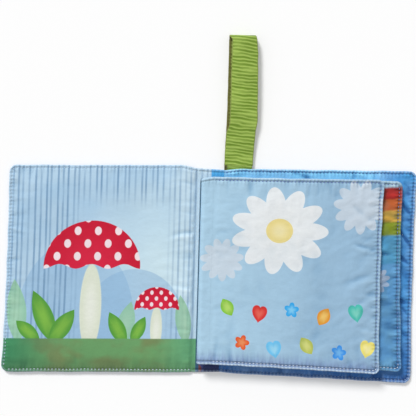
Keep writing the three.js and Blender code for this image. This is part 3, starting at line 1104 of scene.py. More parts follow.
@dataclass(frozen=True)
class Puckers:
    """Small folds that a seam pulls into the cloth, and slanting ones beside the outer side, in millimetres."""

    depth: float
    spacing: float
    reach: float
    root: float = 1.0
    slant: float = 0.0
    slant_depth: float = 0.0
    slant_reach: float = 20.0


@dataclass(frozen=True)
class Site:
    """Places on a panel: from the spine's side, up the page, and from each of its sides, in millimetres."""

    across: Array
    up: Array
    outer: Array
    ends: Array
    top: Array
    bottom: Array
    rim: Array


@dataclass
class PaddedPanel:
    """Two cloths sewn round wadding, with crinkle film under the face of a leaf."""

    name: str
    body: str
    side: int
    root_x: float
    outer_x: Pair
    root_y: Pair
    outer_y: Pair
    lie: Lie
    cloths: dict[Face, tuple[str, Material, str]]
    thread: Material
    fillings: tuple[Material, Material]
    puckers: Puckers
    creases: tuple[Crease, ...]
    seed: int
    middle_z: float = 0.0
    draw_in: float = 1.0
    end_draw: float = 0.2
    root_dip: Pair = (0.0, 0.0)
    swell: float = 0.4
    cut: Pair = (160.0, 172.0)
    cell: float = 1.25
    least_cover: float = 0.04
    least_gap: float = 0.01
    filling_inset: float = 7.0
    filling_cell: float = 2.5
    film_gap: float = 0.12
    film_room: float = 0.35
    film_thickness: float = 0.14
    under_gap: float = 0.3
    thinnest: float = 0.1

    SLACK_PITCH = 33.0
    FILM_PITCH = 11.0
    FILM_DEPTH = 0.3
    UNDER_SHARE = 0.35
    SEAM_STEP = 0.1
    STITCH_STEPS = (-9, -5, 0, 5, 9)
    STITCH_DIP = (-0.35, 0.05, 0.16, 0.05, -0.35)

    def __post_init__(self) -> None:
        """Works out the panel's even size and its noises."""
        self.thickness, self.corner, self.inset = self.lie.value
        self.width = self.side * (sum(self.outer_x) - 2 * self.root_x) / 2
        self.height = (self.outer_y[1] - self.outer_y[0] + self.root_y[1] - self.root_y[0]) / 2
        self.centre_y = (sum(self.outer_y) + sum(self.root_y)) / 4
        self.noises = {face: Crumple(10 * self.seed + face.value) for face in Face}

    def located(self, across: Array, up: Array, inside: Array, corner: Array) -> Site:
        """Measures the ways to the sides.

        Args:
            across: From the spine's side.
            up: From the middle height.
            inside: True within an outer corner's square.
            corner: The way to the rim there.

        Returns:
            The places on the panel.
        """
        outer, top, bottom = self.width - across, self.height / 2 - up, self.height / 2 + up
        ends = np.minimum(top, bottom)
        rim = np.where(inside, corner, np.minimum(outer, ends))
        return Site(across, up, outer, ends, top, bottom, np.maximum(rim, 0))

    def grid(self, inset: float, cell: float, near: Sequence[float]) -> Site:
        """Lays a grid over the panel and rounds its outer corners.

        Args:
            inset: How far it stays from the sides.
            cell: Its spacing.
            near: Its first lines' distances from its ends.

        Returns:
            The places of the grid.
        """
        across = graded_lines(self.width - 2 * inset, cell, near) + inset
        up = graded_lines(self.height - 2 * inset, cell, near) - self.height / 2 + inset
        across, up = np.meshgrid(across, up, indexing="ij")
        radius = self.corner
        straight, level = self.width - radius, self.height / 2 - radius
        a = np.clip((across - straight) / radius, 0, 1)
        b = np.clip((np.abs(up) - level) / radius, 0, 1)
        bent_a, bent_b = a * np.sqrt(1 - b * b / 2), b * np.sqrt(1 - a * a / 2)
        inside = (a > 0) & (b > 0)
        across = np.where(inside, straight + bent_a * radius, across)
        up = np.where(inside, np.sign(up) * (level + bent_b * radius), up)
        return self.located(across, up, inside, radius * (1 - np.hypot(bent_a, bent_b)))

    def spot(self, site: Site) -> tuple[Array, Array]:
        """Returns the place in the frame, with the sides drawn in and a little uneven."""
        share = site.across / self.width
        high = site.up / self.height + 0.5
        noise = self.noises[Face.TOP]
        bow = 1 - (2 * site.up / self.height) ** 2
        outer = mixed(*self.outer_x, high) - self.side * self.draw_in * bow
        outer = outer + self.side * 0.45 * noise.at(site.up / WAVE_PITCH, 3.3) * np.exp(-site.outer / WAVE_REACH)
        pull = self.end_draw * np.sin(math.pi * share)
        dip = 1 - eased(site.across / DIP_REACH)
        wave = 0.4 * noise.at(site.across / WAVE_PITCH, 7.1) * eased(share / 0.08)
        top = mixed(self.root_y[1], self.outer_y[1], share) - pull - self.root_dip[1] * dip
        low = mixed(self.root_y[0], self.outer_y[0], share) + pull + self.root_dip[0] * dip
        top, low = top + wave * np.exp(-site.top / WAVE_REACH), low + wave * np.exp(-site.bottom / WAVE_REACH)
        return mixed(self.root_x, outer, share), mixed(low, top, high)

    def page(self, site: Site) -> Array:
        """Returns the place on the page and the way to the sewn edge."""
        return stacked(self.root_x + self.side * site.across, site.up + self.centre_y, site.rim)

    def along(self, site: Site) -> Array:
        """Returns the way along the seam, which places the stitches and the puffs between them."""
        beside = site.outer < site.ends
        across = np.where(beside, self.width - self.inset, site.across)
        up = np.where(beside, site.up, np.sign(site.up) * (self.height / 2 - self.inset))
        return self.root_x + self.side * across + (self.centre_y + up)

    def level(self, site: Site) -> tuple[Array, Array]:
        """Returns the middle height of the panel and half its thickness, without folds."""
        share = 1.0
        for way in (site.across, site.outer, site.ends):
            share = share * (1 - (1 - np.clip(way / CROWN_REACH, 0, 1)) ** CROWN_POWER)
        root = eased(site.across / 4.5)
        if self.lie is Lie.FREE:
            half = (RIM_THICKNESS + (self.thickness - RIM_THICKNESS) * share) / 2
            return self.middle_z + 0 * root, mixed(ROOT_HALF, half, root)
        settled = np.clip(site.outer / LIFT_REACH, 0, 1) * np.clip(site.ends / LIFT_REACH, 0, 1)
        under = RIM_LIFT * (1 - settled)
        over = under + RIM_THICKNESS + (self.thickness - RIM_THICKNESS - under) * share
        return mixed(ROOT_HALF, (under + over) / 2, root), mixed(ROOT_HALF, (over - under) / 2, root)

    def relief(self, site: Site, face: Face) -> Array:
        """Returns the height that slack, puckers, slanting folds, film and creases add to a face."""
        noise, style = self.noises[face], self.puckers
        total = -self.swell * (0.5 + 0.5 * noise.at(site.across / self.SLACK_PITCH, site.up / self.SLACK_PITCH))
        sides = (
            (site.up, site.outer, 1),
            (site.across, site.top, 1),
            (site.across, site.bottom, 1),
            (site.up, site.across, style.root),
        )
        for number, (along, inward, strength) in enumerate(sides):
            u = along / style.spacing + 17.3 * number
            wave = noise.at(u, inward / (3.4 * style.spacing)) + 0.55 * noise.at(2.3 * u, inward / (2 * style.spacing))
            reach = np.maximum(style.reach * (1 + 0.6 * noise.at(u / 2.7, 9.5)), 2)
            total = total + strength * style.depth * wave * eased(inward / 3.5) * np.exp(-inward / reach)
        if style.slant_depth:
            run = (site.up + style.slant * site.outer) / (1.6 * style.spacing)
            broad, fine = noise.at(run, 31.0 + site.outer / 45), noise.at(2.1 * run, 41.0 + site.outer / 20)
            folds = np.abs(broad) + 0.5 * np.abs(fine)
            total = total + style.slant_depth * (folds - 0.45) * np.exp(-site.outer / style.slant_reach)
        if self.lie is Lie.FREE:
            film = np.abs(noise.at(site.across / self.FILM_PITCH, site.up / self.FILM_PITCH))
            total = total - self.FILM_DEPTH * film
        if face is Face.TOP:
            x, y, _ = np.moveaxis(self.page(site), -1, 0)
            for crease in self.creases:
                total = total + crease.relief(x, y)
        elif self.lie is Lie.ON_TABLE:
            total = self.UNDER_SHARE * total
        return total * eased(site.across / 5)

    def skin(self, site: Site, face: Face) -> tuple[Array, Array]:
        """Returns the middle height and the height of a face's outer side."""
        middle, half = self.level(site)
        rounding = rounded(site.rim / RIM_ROUND)
        groove = GROOVE_DEPTH * bell(site.rim - self.inset, GROOVE_WIDTH) * eased(site.across / 6)
        folds = (self.relief(site, face) - groove) * eased(site.rim / 2.0)
        reach = np.maximum(half * rounding + folds, np.minimum(0.5, half) * rounding)
        if self.lie is Lie.FREE:
            return middle, middle + face.value * np.minimum(reach, self.thickness / 2 + PROUD)
        return middle, np.clip(middle + face.value * reach, 0.0, self.thickness + PROUD)

    def sheet(self, face: Face) -> None:
        """Makes one cloth of the panel, from its sewn edge over the padding."""
        suffix, material, slot = self.cloths[face]
        node = f"{self.name}_{suffix}"
        site = self.grid(0.0, self.cell, RIM_LINES)
        x, y = self.spot(site)
        middle, outside = self.skin(site, face)

        def clear(z: Array, least: float) -> Array:
            """Keeps a height at least so far on this face's side of the middle."""
            return np.where(face.value * (z - middle) < least, middle + face.value * least, z)

        outside = clear(outside, self.least_cover)
        inside = clear(outside - face.value * CLOTH_THICKNESS, self.least_gap)
        sides = [stacked(x, y, z) for z in (outside, inside)]
        # How deep each vertex lies in a fold, from which the cloth finish paints shade in the folds and a highlight on
        # the ridges
        fold = -self.relief(site, face) - self.swell / 2 * eased(site.across / 5)
        flipped = self.side * face.value < 0
        made = sheet_object(
            f"{node}_sewn", sides, self.page(site), material, flipped, fold=fold, along=self.along(site)
        )
        declare(made, node, self.body)
        flat = (self.cut[0] * MM, self.cut[1] * MM)

    def filling(self) -> None:
        """Makes the wadding, and the crinkle film of a leaf."""
        site = self.grid(self.filling_inset, self.filling_cell, (0, 0.8))
        x, y = self.spot(site)
        top = self.skin(site, Face.TOP)[1] - CLOTH_THICKNESS - self.film_gap
        under = self.skin(site, Face.UNDER)[1] + CLOTH_THICKNESS + self.under_gap

        def layer(suffix: str, slot: str, high: Array, low: Array, material: Material) -> Thing:
            """Makes one piece inside the panel."""
            sides = [stacked(x, y, z) for z in (high, np.minimum(low, high - self.thinnest))]
            made = sheet_object(f"{self.name}_{suffix}", sides, self.page(site), material, self.side < 0)
            declare(made, f"{self.name}_{slot}", self.body)
            return made

        wadding, film = self.fillings
        layer("filling", "wadding", top - self.film_room, under, wadding)
        if self.lie is Lie.FREE:
            size = ((self.width - 2 * self.filling_inset) * MM, (self.height - 2 * self.filling_inset) * MM)
            sheet = layer("film", "crinkle_film", top, top - self.film_thickness, film)

    def seam_line(self) -> tuple[Array, Array]:
        """Returns the seam round the three sewn sides, and where on it each stitch has its middle."""
        radius = max(self.corner - self.inset, 1.0)
        right, half = self.width - self.inset, self.height / 2 - self.inset
        turn = np.linspace(0, math.pi / 2, 24)
        low = stacked(right - radius + radius * np.sin(turn), -half + radius - radius * np.cos(turn))
        high = stacked(right - radius + radius * np.cos(turn), half - radius + radius * np.sin(turn))
        outline = np.concatenate([[[1.0, -half]], low, high, [[1.0, half]]])
        line = run_along(outline, np.arange(0, ways(outline)[-1], self.SEAM_STEP))
        phase = (self.root_x + self.side * line[:, 0] + line[:, 1] + self.centre_y) / STITCH_PITCH
        return line, np.flatnonzero(np.diff(np.floor(phase)) != 0)

    def thread_line(self, face: Face) -> None:
        """Makes the running stitches of one face."""
        line, starts = self.seam_line()
        index = np.clip(starts[:, None] + self.STITCH_STEPS, 0, len(line) - 1)
        across, up = line[index, 0], line[index, 1]
        a, b = across - (self.width - self.corner), np.abs(up) - (self.height / 2 - self.corner)
        site = self.located(across, up, (a > 0) & (b > 0), self.corner - np.hypot(a, b))
        x, y = self.spot(site)
        _, z = self.skin(site, face)
        centres = stacked(x, y, z + np.array(self.STITCH_DIP) * face.value)
        name = f"{self.name}_{face.name.lower()}_thread"
        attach(stitches(name, centres, self.page(site), self.thread, face.value), self.body)

    def build(self) -> None:
        """Makes every piece of the panel."""
        self.filling()
        for face in Face:
            self.sheet(face)
            self.thread_line(face)


def stitches(name: str, centres: Array, page: Array, material: Material, up: int) -> Thing:
    """Makes short threads, each a rounded rod along five centres.

    Args:
        name: The piece's name.
        centres: Stitches by five centres by three, in millimetres.
        page: The page of each centre.
        material: The thread's finish.
        up: 1 where the thread lies on a top face and -1 under it.

    Returns:
        The threads as one piece.
    """
    count, rings, _ = centres.shape
    run = centres[:, -1] - centres[:, 0]
    run /= np.maximum(np.linalg.norm(run, axis=1, keepdims=True), 1e-6)
    lift = np.array([0.0, 0.0, float(up)])
    aside = np.cross(run, lift)[:, None, None]
    width = THREAD_RADIUS * np.array(THREAD_TAPER)[:, None, None]
    turns = (np.arange(THREAD_SIDES) * 2 * math.pi / THREAD_SIDES)[:, None]
    points = centres[:, :, None] + width * (np.cos(turns) * aside + THREAD_FLATNESS * np.sin(turns) * lift)
    index = np.arange(count * rings * THREAD_SIDES).reshape(count, rings, THREAD_SIDES)
    quads = tube_faces(index, np.roll(index, -1, axis=2))
    caps = np.concatenate([index[:, 0, ::-1], index[:, -1]])
    if up > 0:
        quads, caps = quads[:, ::-1], caps[:, ::-1]
    pages = np.repeat(page.reshape(-1, 3), THREAD_SIDES, axis=0)
    return mesh_object(name, points.reshape(-1, 3), [quads, caps], pages, material)


# Spine, roots and binding


@dataclass
class Ribbon:
    """A gathered band of cloth along a path in the XZ plane, in millimetres."""

    name: str
    node: str
    slot: str
    material: Material
    path: Array
    start_y: Pair
    end_y: Pair
    thickness: float
    gather: float
    spacing: float
    seed: int
    page_start: float
    page_side: int = 1
    page_y: Pair | None = None
    inset: float = 2.6

    STEP = 0.45
    ROWS = 130
    END_REACH = 2.5

    def build(self, flat: Pair, rests_on: Sequence[str]) -> Thing:
        """Makes the band as a closed sheet.

        Args:
            flat: The size that it was cut to, in millimetres; not used.
            rests_on: What it is sewn to or lies on; not used.

        Returns:
            The band, which rides on nothing yet.
        """
        whole = ways(self.path)[-1]
        even = np.linspace(0, whole, max(int(whole / self.STEP), 12))
        path = run_along(self.path, even, 3)
        path[0] += OVERLAP * (path[0] - path[1]) / np.linalg.norm(path[0] - path[1])
        path[-1] += OVERLAP * (path[-1] - path[-2]) / np.linalg.norm(path[-1] - path[-2])
        out = upright(path)
        even = even[:, None]
        share = even / whole
        low, high = mixed(self.start_y[0], self.end_y[0], share), mixed(self.start_y[1], self.end_y[1], share)
        rows = graded_lines(1.0, 1.0 / self.ROWS, (0, 0.0015, 0.004, 0.008, 0.013))
        y = low + (high - low) * rows
        edge = np.minimum(rows, 1 - rows) * (high - low)
        noise = Crumple(100 + self.seed)
        ripple = noise.at(y / self.spacing, share * 1.5) + 0.5 * noise.at(y / (0.45 * self.spacing), share * 2)
        clear = eased(np.minimum(even, whole - even) / self.END_REACH)
        shift = self.gather * ripple * (eased(edge / 3) * clear)
        half = self.thickness / 2 * (0.25 + 0.75 * rounded(edge / 0.8)) - 0.012 * (1 - clear)
        sides = [
            stacked(path[:, :1] + out[:, :1] * off, y, path[:, 1:] + out[:, 1:] * off)
            for off in (shift + half, shift - half)
        ]
        page_x = self.page_start + self.page_side * even
        page_y = mixed(*self.page_y, rows) if self.page_y else y
        inner = np.where(rows > 0.5, page_y[..., -1:] - self.inset, page_y[..., :1] + self.inset)
        page = stacked(page_x, page_y, np.maximum(edge, 0))
        made = sheet_object(self.name, sides, page, self.material, along=page_x + inner)
        declare(made, self.node)
        return made


@dataclass
class Spine:
    """The spine's two cloths and the gathered ridge that holds the leaves."""

    finishes: Finishes
    half_width: float = 10.0
    left_y: Pair = (-79.1, 81.0)
    right_y: Pair = (-78.4, 80.2)
    page_y: Pair = (-81.15, 81.65)
    ridge_half: float = 1.5
    ridge_foot: float = 2.0
    ridge_top: float = 8.9
    ridge_y: float = 71.0
    ridge_turn: float = 60.0
    ridge_fold: float = 0.16

    def strip(self, name: str, node: str, slot: str, material: Material, middle: float, seed: int) -> None:
        """Makes one cloth of the spine.

        Args:
            name: The piece's name.
            node: The CAD node that it stands for.
            slot: Its slot in the record; not used.
            material: Its finish.
            middle: Its middle height.
            seed: The seed of its folds.
        """
        path = stacked(np.linspace(-self.half_width, self.half_width, 24), middle)
        band = Ribbon(
            name, node, slot, material, path, self.left_y, self.right_y, thickness=0.66, gather=0.2, spacing=4.5,
            seed=seed, page_start=-self.half_width, page_y=self.page_y, inset=2.2,
        )
        made = band.build((26.0, 166.0), ["front_cover_filling", "back_cover_filling"])
        start, end = (self.half_width * MM, 0, 0), (-self.half_width * MM, 0, 0)
        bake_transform(made)

    def ridge(self) -> None:
        """Makes the gathered ridge of root cloth."""
        half, foot, top = self.ridge_half, self.ridge_foot, self.ridge_top
        turn = np.linspace(0, math.pi, 9)[1:-1]
        wall = np.linspace(foot, top - half, 8)
        outline = np.concatenate([
            stacked(half, wall),
            stacked(half * np.cos(turn), top - half + half * np.sin(turn)),
            stacked(-half, wall[::-1]),
        ])
        rows = np.linspace(-self.ridge_y, self.ridge_y, 190)
        fold = self.ridge_fold * Crumple(77).at(rows / 2.6, outline[:, 1:] / 6) - self.ridge_fold
        out = outline - (0, (foot + top) / 2)
        out /= np.linalg.norm(out, axis=1, keepdims=True)
        x = outline[:, :1] + out[:, :1] * fold
        z = np.maximum(outline[:, 1:] + out[:, 1:] * fold, foot)
        index = np.arange(x.size).reshape(x.shape)
        faces = [tube_faces(index, np.roll(index, -1, axis=0))[:, ::-1], np.stack([index[:, 0], index[::-1, -1]])]
        points, page = (stacked(*parts).reshape(-1, 3) for parts in ((x, rows, z), (z, rows, 9.0)))
        made = mesh_object("leaf_binding_gathered", points, faces, page, self.finishes.aqua)
        declare(made, "leaf_binding")
        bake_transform(made)

    def build(self) -> None:
        """Makes the spine's pieces."""
        self.strip("spine_outer_sewn", "spine_outer_cloth", "blue_cloth", self.finishes.outer, 0.35, 1)
        self.strip("spine_lining_sewn", "spine_lining", "striped_sky_cloth", self.finishes.spine, 1.36, 2)
        self.ridge()


@dataclass
class LeafRoots:
    """The leaves' unpadded roots: an S-shaped run for one leaf, and a roll for the leaf that turns back over it."""

    finishes: Finishes
    leaf_2_z: float = 7.65
    leaf_1_z: float = 12.55
    roll_x: float = -4.25
    roll_radius: float = 2.45
    leaf_2_start: float = 0.5
    leaf_2_end: float = 10.0
    leaf_1_end: float = 2.0
    leaf_2_y: Pair = (-71.75, 71.75)
    leaf_1_y: Pair = (-70.6, 74.3)
    roll_y: Pair = (-70.8, 72.5)
    binding_y: Pair = (-71, 71)
    leaf_1_page_y: Pair = (-72.7, 74.95)

    def run(self) -> None:
        """Makes leaf 2's root."""
        path = eased_run((self.leaf_2_start, TURNING_Z), (self.leaf_2_end, self.leaf_2_z), 16)
        band = Ribbon(
            "leaf_2_root_gathered", "leaf_2_root", "banded_cloth", self.finishes.bands, path, self.binding_y,
            self.leaf_2_y, ROOT_THICKNESS, gather=0.1, spacing=4.0, seed=3, page_start=self.leaf_2_start,
        )
        made = band.build((15.0, 158.0), ["leaf_binding_gathered", "leaf_2_filling"])
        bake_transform(made)

    def roll(self) -> None:
        """Makes leaf 1's root in two parts, which meet at its joint's axis at the left of the roll."""
        radius = self.roll_radius
        turn = np.linspace(0, math.pi, 25)
        arc = stacked(self.roll_x - radius * np.sin(turn), self.leaf_1_z - radius * (1 + np.cos(turn)))
        run = eased_run((-self.leaf_2_start, TURNING_Z), (self.roll_x, self.leaf_1_z - 2 * radius), 12)
        level = stacked(np.linspace(self.roll_x, self.leaf_1_end, 12), self.leaf_1_z)
        lower, upper = np.concatenate([run, arc[1:13]])[::-1], np.concatenate([arc[12:-1], level])[::-1]
        page_x, y = self.leaf_1_end, self.leaf_1_y
        for name, path, end_y, body, deep, seed in (
            ("leaf_1_root_over", upper, self.roll_y, "leaf_1", 12, 4),
            ("leaf_1_root_under", lower, self.binding_y, "leaf_2", 11, 5),
        ):
            band = Ribbon(
                name, "leaf_1_root", "page_cloth", self.finishes.sky, path, y, end_y, ROOT_THICKNESS, gather=0.2,
                spacing=5.0, seed=seed, page_start=page_x, page_side=-1, page_y=self.leaf_1_page_y,
            )
            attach(band.build((deep, 150.0), ["leaf_binding_gathered", "leaf_1_filling"]), body)
            page_x, y = page_x - ways(path)[-1], end_y

    def build(self) -> None:
        """Makes both roots."""
        self.run()
        self.roll()


# Strap


@dataclass
class Strap:
    """The ribbed strap, folded into a loop, and its ends in the back cover's seam."""

    finishes: Finishes
    left_x: float = 10.6
    width: float = 21.5
    start_y: float = 84.14
    end_y: float = 186.2
    seam_z: float = 2.1
    cloth: float = 1.2
    gap: float = 5.0
    settle: float = 9.0
    swell_share: float = 0.55
    length: float = 105.0
    rib_pitch: float = 2.65
    rib_depth: float = 0.22
    tail_y: Pair = (76.0, 84.0)
    tail_out_y: float = 80.4
    tail_thin: float = 0.6
    root_x: float = 10.0
    root_reach: float = 4.5
    root_sag: float = 1.1

    STEP = 0.4
    COLUMNS = 34
    UNEVEN = 0.15
    RIB_LEAN = -0.036
    FAN_WAYS = (0.0, 0.15, 0.27, 0.31, 0.34, 0.86, 1.0)
    FAN = (0.4, 1.2, 1.9, 2.8, 3.2, 2.05, 0.85)

    def loop_path(self) -> tuple[Array, Array]:
        """Returns the strap's middle line in (y, z), from its seam along the table, round the fold and back.

        Returns:
            The points, and for each the share of the way to the upper layer.
        """
        whole = 2 * self.cloth + self.gap
        fold_y = self.end_y - whole / 2
        y = np.linspace(self.start_y, fold_y, 60)
        way = y - self.start_y
        under = (self.seam_z - self.cloth) * (1 - eased(way / self.settle)) + self.cloth / 2
        over = mixed(self.seam_z + self.cloth, whole, eased(way / (self.length * self.swell_share))) - self.cloth / 2
        radius = (whole - self.cloth) / 2
        turn = np.linspace(-math.pi / 2, math.pi / 2, 16)[1:-1]
        fold = stacked(fold_y + radius * np.cos(turn), whole / 2 + radius * np.sin(turn))
        path = np.concatenate([stacked(y, under), fold, stacked(y, over)[::-1]])
        return path, np.concatenate([np.zeros(60), np.linspace(0, 1, 16)[1:-1], np.ones(60)])

    def edges(self, y: Array, even: Array, upper: Array, noise: Crumple, loose: bool) -> tuple[Array, Array]:
        """Returns the left and right sides of a band.

        Args:
            y: Its middle line's y.
            even: The way along it.
            upper: 1 on the upper layer and 0 on the lower.
            noise: What makes its sides uneven.
            loose: True where the layers lie a little askew and fan out.

        Returns:
            The x of each side at each point.
        """
        way = np.clip((y - self.start_y) / (self.end_y - self.start_y), 0, 1)
        left = self.left_x + mixed(-0.7, 0.4, eased(way * 2.2))
        right = self.left_x + self.width - 0.4
        if loose:
            left = left + upper * 2.4 * eased((way - 0.23) / 0.09) * eased((1 - way) / 0.05)
            right = right + np.interp(way, self.FAN_WAYS, self.FAN) * mixed(0.6, 1.0, upper)
            right = right - 0.9 * (1 - upper) * eased((way - 0.27) / 0.2)
        return tuple(x + self.UNEVEN * noise.at(even / 6, place) for x, place in ((left, 1.5), (right, 4.5)))

    def band(self, name: str, node: str, path: Array, upper: Array, thickness: Array | float, loose: bool) -> Thing:
        """Makes a ribbed band along a path in (y, z).

        Args:
            name: The piece's name.
            node: The CAD node that it stands for.
            path: Its middle line.
            upper: For each point, 1 on the upper layer and 0 on the lower.
            thickness: Its thickness at each point.
            loose: True for the loop, whose layers lie a little askew, and False for the ends in the seam.

        Returns:
            The band, which rides on nothing yet.
        """
        reach = ways(path)
        even = np.linspace(0, reach[-1], int(reach[-1] / self.STEP))
        line = run_along(path, even, 2)
        out = upright(line)
        upper = np.interp(even, reach, upper)
        thick = np.interp(even, reach, np.broadcast_to(thickness, reach.shape))
        noise = Crumple(55)
        left, right = self.edges(line[:, 0], even, upper, noise, loose)
        even, upper, left, right, thick = (values[:, None] for values in (even, upper, left, right, thick))
        across = graded_lines(1.0, 1.0 / self.COLUMNS, (0, 0.006, 0.018, 0.035))
        edge = np.minimum(across, 1 - across) * self.width
        x = left + (right - left) * across
        aside = across * self.width
        drift = 0.3 * noise.at(aside / 17, even / 14) + 0.16 * noise.at(aside / 6, even / 4 + 5)
        drift = np.where(upper > 0.5, 1, -1) * (self.RIB_LEAN * aside + drift)
        wave = 0.5 + 0.5 * np.cos(2 * math.pi * (even / self.rib_pitch + drift))
        force = np.clip(0.8 + 0.5 * noise.at(even / 2.9, 9.5 + aside / 19), 0.45, 1)
        groove = np.sqrt(wave) * force * eased(edge / 0.6)
        half = thick / 2 * (0.3 + 0.7 * rounded(edge / 0.7))
        far = half - self.rib_depth * groove * np.minimum(1, half / 0.5)
        sides = np.stack([
            stacked(x, line[:, :1] + out[:, :1] * off, line[:, 1:] + out[:, 1:] * off) for off in (-far, far)
        ])
        if not loose:
            sunk = 1 - eased((sides[..., 0] - self.root_x) / self.root_reach)
            held = 1 - eased((sides[..., 1] - self.tail_out_y) / (self.tail_y[1] - self.tail_out_y))
            sides[..., 2] -= self.root_sag * sunk * held
        sides[..., 2] = np.maximum(sides[..., 2], 0.0)
        page = stacked(self.left_x + self.width * across, even, groove)
        made = sheet_object(name, sides, page, self.finishes.ribbed)
        declare(made, node)
        return made

    def build(self) -> None:
        """Makes the loop, which swings at the seam, and the ends in the seam."""
        loop = self.band("strap_loop_ribbed", "strap_loop", *self.loop_path(), self.cloth, True)
        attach(loop, "strap")
        flat = (self.width * MM, 2 * self.length * MM)
        y = np.linspace(*self.tail_y, 20)
        path = stacked(y, self.seam_z)
        out_share = eased((y - self.tail_out_y) / (self.tail_y[1] - self.tail_out_y))
        thick = mixed(self.tail_thin, 2 * self.cloth, out_share)
        tail = self.band("strap_tail_ribbed", "strap_tail", path, np.zeros(20), thick, False)
        self.width * MM
        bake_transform(tail)


# Studio


@dataclass
class Studio:
    """The floor, the lamps and the camera, in metres."""

    floor_size: float = 60.0
    floor_z: float = -0.0002
    floor_glow: float = 0.2
    floor_tone: float = 0.86
    world_strength: float = 0.42
    backdrop_strength: float = 0.58
    lamp_energy: float = 2.4
    lamp_angle: float = 16.0
    lamp_turn: Pair = (-42.0, -30.0)
    camera_place: tuple[float, float, float] = (-0.002, 0.050, 0.640)
    camera_turn: float = 1.6
    lens: float = 70.33

    def link(self, name: str, data: bpy.types.ID) -> Thing:
        """Returns a new object in the scene."""
        made = bpy.data.objects.new(name, data)
        bpy.context.scene.collection.objects.link(made)
        return made

    def floor(self) -> None:
        """Makes the white floor, which keeps the book's soft shadow."""
        bpy.ops.mesh.primitive_plane_add(size=self.floor_size, location=(0, 0, self.floor_z))
        plane = bpy.context.active_object
        plane.name = "studio_floor"
        material = bpy.data.materials.new("white_floor")
        material.use_nodes = True
        tree = material.node_tree
        inputs = tree.nodes["Principled BSDF"].inputs
        inputs["Base Color"].default_value = (self.floor_tone, self.floor_tone, self.floor_tone, 1)
        inputs["Roughness"].default_value = 0.9
        inputs["Emission Color"].default_value = (1, 1, 1, 1)
        seen, mirrored = (add_node(tree, "LightPath", {}, ray) for ray in ("Is Camera Ray", "Is Glossy Ray"))
        feed(inputs["Emission Strength"], seen.math("MAXIMUM", mirrored) * self.floor_glow)
        plane.data.materials.append(material)

    def lamps(self) -> None:
        """Makes the soft studio light: an even white world and one broad lamp from the upper left."""
        world = bpy.data.worlds.new("studio")
        bpy.context.scene.world = world
        world.use_nodes = True
        inputs = world.node_tree.nodes["Background"].inputs
        inputs["Color"].default_value = (1, 1, 1, 1)
        seen = add_node(world.node_tree, "LightPath", {}, "Is Camera Ray")
        feed(inputs["Strength"], seen * self.backdrop_strength + self.world_strength)
        data = bpy.data.lights.new("key_lamp", "SUN")
        data.energy = self.lamp_energy
        data.angle = math.radians(self.lamp_angle)
        self.link("key_lamp", data).rotation_euler = (*(math.radians(turn) for turn in self.lamp_turn), 0)

    def camera(self) -> None:
        """Makes the camera that looks straight down, as the photo's did."""
        data = bpy.data.cameras.new("camera")
        data.lens = self.lens
        data.sensor_width = 36.0
        made = self.link("camera", data)
        made.location = self.camera_place
        made.rotation_euler = (0, 0, math.radians(self.camera_turn))
        bpy.context.scene.camera = made

    def build(self) -> None:
        """Sets up the studio."""
        self.floor()
        self.lamps()
        self.camera()
        bpy.context.scene.view_settings.view_transform = "Standard"


# The book


def creases(*rows: tuple[float, ...]) -> tuple[Crease, ...]:
    """Returns creases, each given by its start, its end, its depth, its width and its bow."""
    return tuple(Crease(*row) for row in rows)


BACK_COVER_CREASES = creases(
    (146, 62, 160, 44, 1.1, 1.7, 1),
    (147, 38, 160, 21, 1.2, 1.6, 0.8),
    (144, 22, 160, 9, 1, 1.6, -0.8),
    (142, -14, 159, -21, 1.3, 1.7, 0.6),
    (146, -38, 160, -46, 0.8, 1.8, 0.5),
    (150, 74, 158, 66, 0.7, 1.4, 0),
    (60, 82, 86, 72, 0.5, 1.8, 0),
    (110, 80, 128, 70, 0.5, 1.8, 0),
)
LEAF_2_CREASES = creases(
    (120, 20, 150, 15, 0.9, 1.5, 0.5),
    (112, -14, 150, -20, 1.3, 1.7, -0.8),
    (126, -9, 148, -2, 0.6, 1.6, 0.4),
    (130, 44, 150, 40, 0.5, 1.4, 0),
    (126, -44, 151, -48, 0.5, 1.7, 0),
)
LEAF_1_CREASES = creases(
    (132, 21, 108, 27, 0.75, 1.5, 0.6),
    (132, 40, 104, 60, 0.45, 2.2, 1),
    (132, 4, 100, -8, 0.5, 2.4, -1),
    (132, -8, 106, -26, 0.45, 2, 0.6),
    (132, -40, 112, -36, 0.35, 1.8, 0),
    (-4, 30, 22, 34, 0.3, 1.8, 0),
    (-4, -30, 18, -26, 0.3, 1.8, 0),
)
FRONT_COVER_CREASES = creases(
    (-10.5, 70, -40, 67, 0.3, 1.7, 0.6),
    (-10.5, 31, -36, 24, 0.6, 1.5, -0.6),
    (-10.5, 22, -28, 16, 0.2, 1.3, 0),
    (-10.5, -14, -34, -11, 0.5, 1.5, 0.5),
    (-10.5, -48, -30, -46, 0.4, 1.5, 0),
    (-160, 30, -144, 26, 0.4, 1.4, 0),
    (-161, 6, -146, 8, 0.45, 1.4, 0),
    (-100, -83, -104, -60, 0.45, 1.8, 0),
)


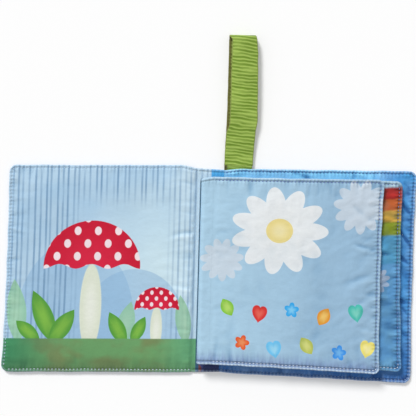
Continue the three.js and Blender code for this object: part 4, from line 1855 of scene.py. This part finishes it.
def book_panels(finishes: Finishes) -> list[PaddedPanel]:
    """Describes the two covers and the two leaves.

    Args:
        finishes: The book's materials.

    Returns:
        The panels, from the table up.
    """
    fillings = (finishes.wadding, finishes.film)
    outer = ("outer_cloth", finishes.outer, "blue_cloth")
    back_page = ("back_cloth", finishes.aqua, "aqua_cloth")
    front = PaddedPanel(
        "front_cover", "front_cover", -1, -10.0, (-160.9, -158.6), (-79.4, 83.6), (-82.9, 79.7), Lie.ON_TABLE,
        {Face.TOP: ("inner_cloth", finishes.meadow, "striped_sky_cloth"), Face.UNDER: outer},
        finishes.pale_thread, fillings, Puckers(0.8, 7.0, 12.0), FRONT_COVER_CREASES, seed=1,
        root_dip=(0.3, 2.6),
    )
    back = PaddedPanel(
        "back_cover", "root", 1, 10.0, (160.6, 161.0), (-79.0, 81.4), (-83.2, 83.4), Lie.ON_TABLE,
        {Face.TOP: ("inner_cloth", finishes.blue, "blue_cloth"), Face.UNDER: outer},
        finishes.blue_thread, fillings, Puckers(1.0, 7.0, 12.0, 1.0, -1.1, 1.6, 22.0), BACK_COVER_CREASES, seed=2,
        root_dip=(0.6, 1.2), swell=0.7,
    )
    leaf_2 = PaddedPanel(
        "leaf_2", "leaf_2", 1, 10.0, (152.2, 149.0), (-71.75, 71.75), (-73.2, 75.4), Lie.FREE,
        {Face.TOP: ("front_cloth", finishes.bands, "banded_cloth"), Face.UNDER: back_page},
        finishes.thread, fillings, Puckers(1.0, 6.0, 12.0, 0.4, 0.35, 1.2, 26.0), LEAF_2_CREASES, seed=3,
        middle_z=7.65, draw_in=1.7, end_draw=0.8, swell=0.7, cut=(154.0, 158.0),
    )
    leaf_1 = PaddedPanel(
        "leaf_1", "leaf_1", 1, 2.0, (133.8, 133.6), (-70.6, 74.3), (-74.8, 75.6), Lie.FREE,
        {Face.TOP: ("front_cloth", finishes.sky, "page_cloth"), Face.UNDER: back_page},
        finishes.thread, fillings, Puckers(0.95, 5.5, 11.0, 0.4, 0.6, 0.9, 24.0), LEAF_1_CREASES, seed=4,
        middle_z=12.55, draw_in=1.2, end_draw=0.3, swell=0.8, cut=(143.0, 159.0),
    )
    return [front, back, leaf_2, leaf_1]


def main() -> None:
    logging.basicConfig(level=logging.INFO, format="%(message)s")
    Studio().build()
    finishes = Finishes()
    for panel in book_panels(finishes):
        panel.build()
    Spine(finishes).build()
    LeafRoots(finishes).build()
    Strap(finishes).build()


if __name__ == "__main__":
    main()
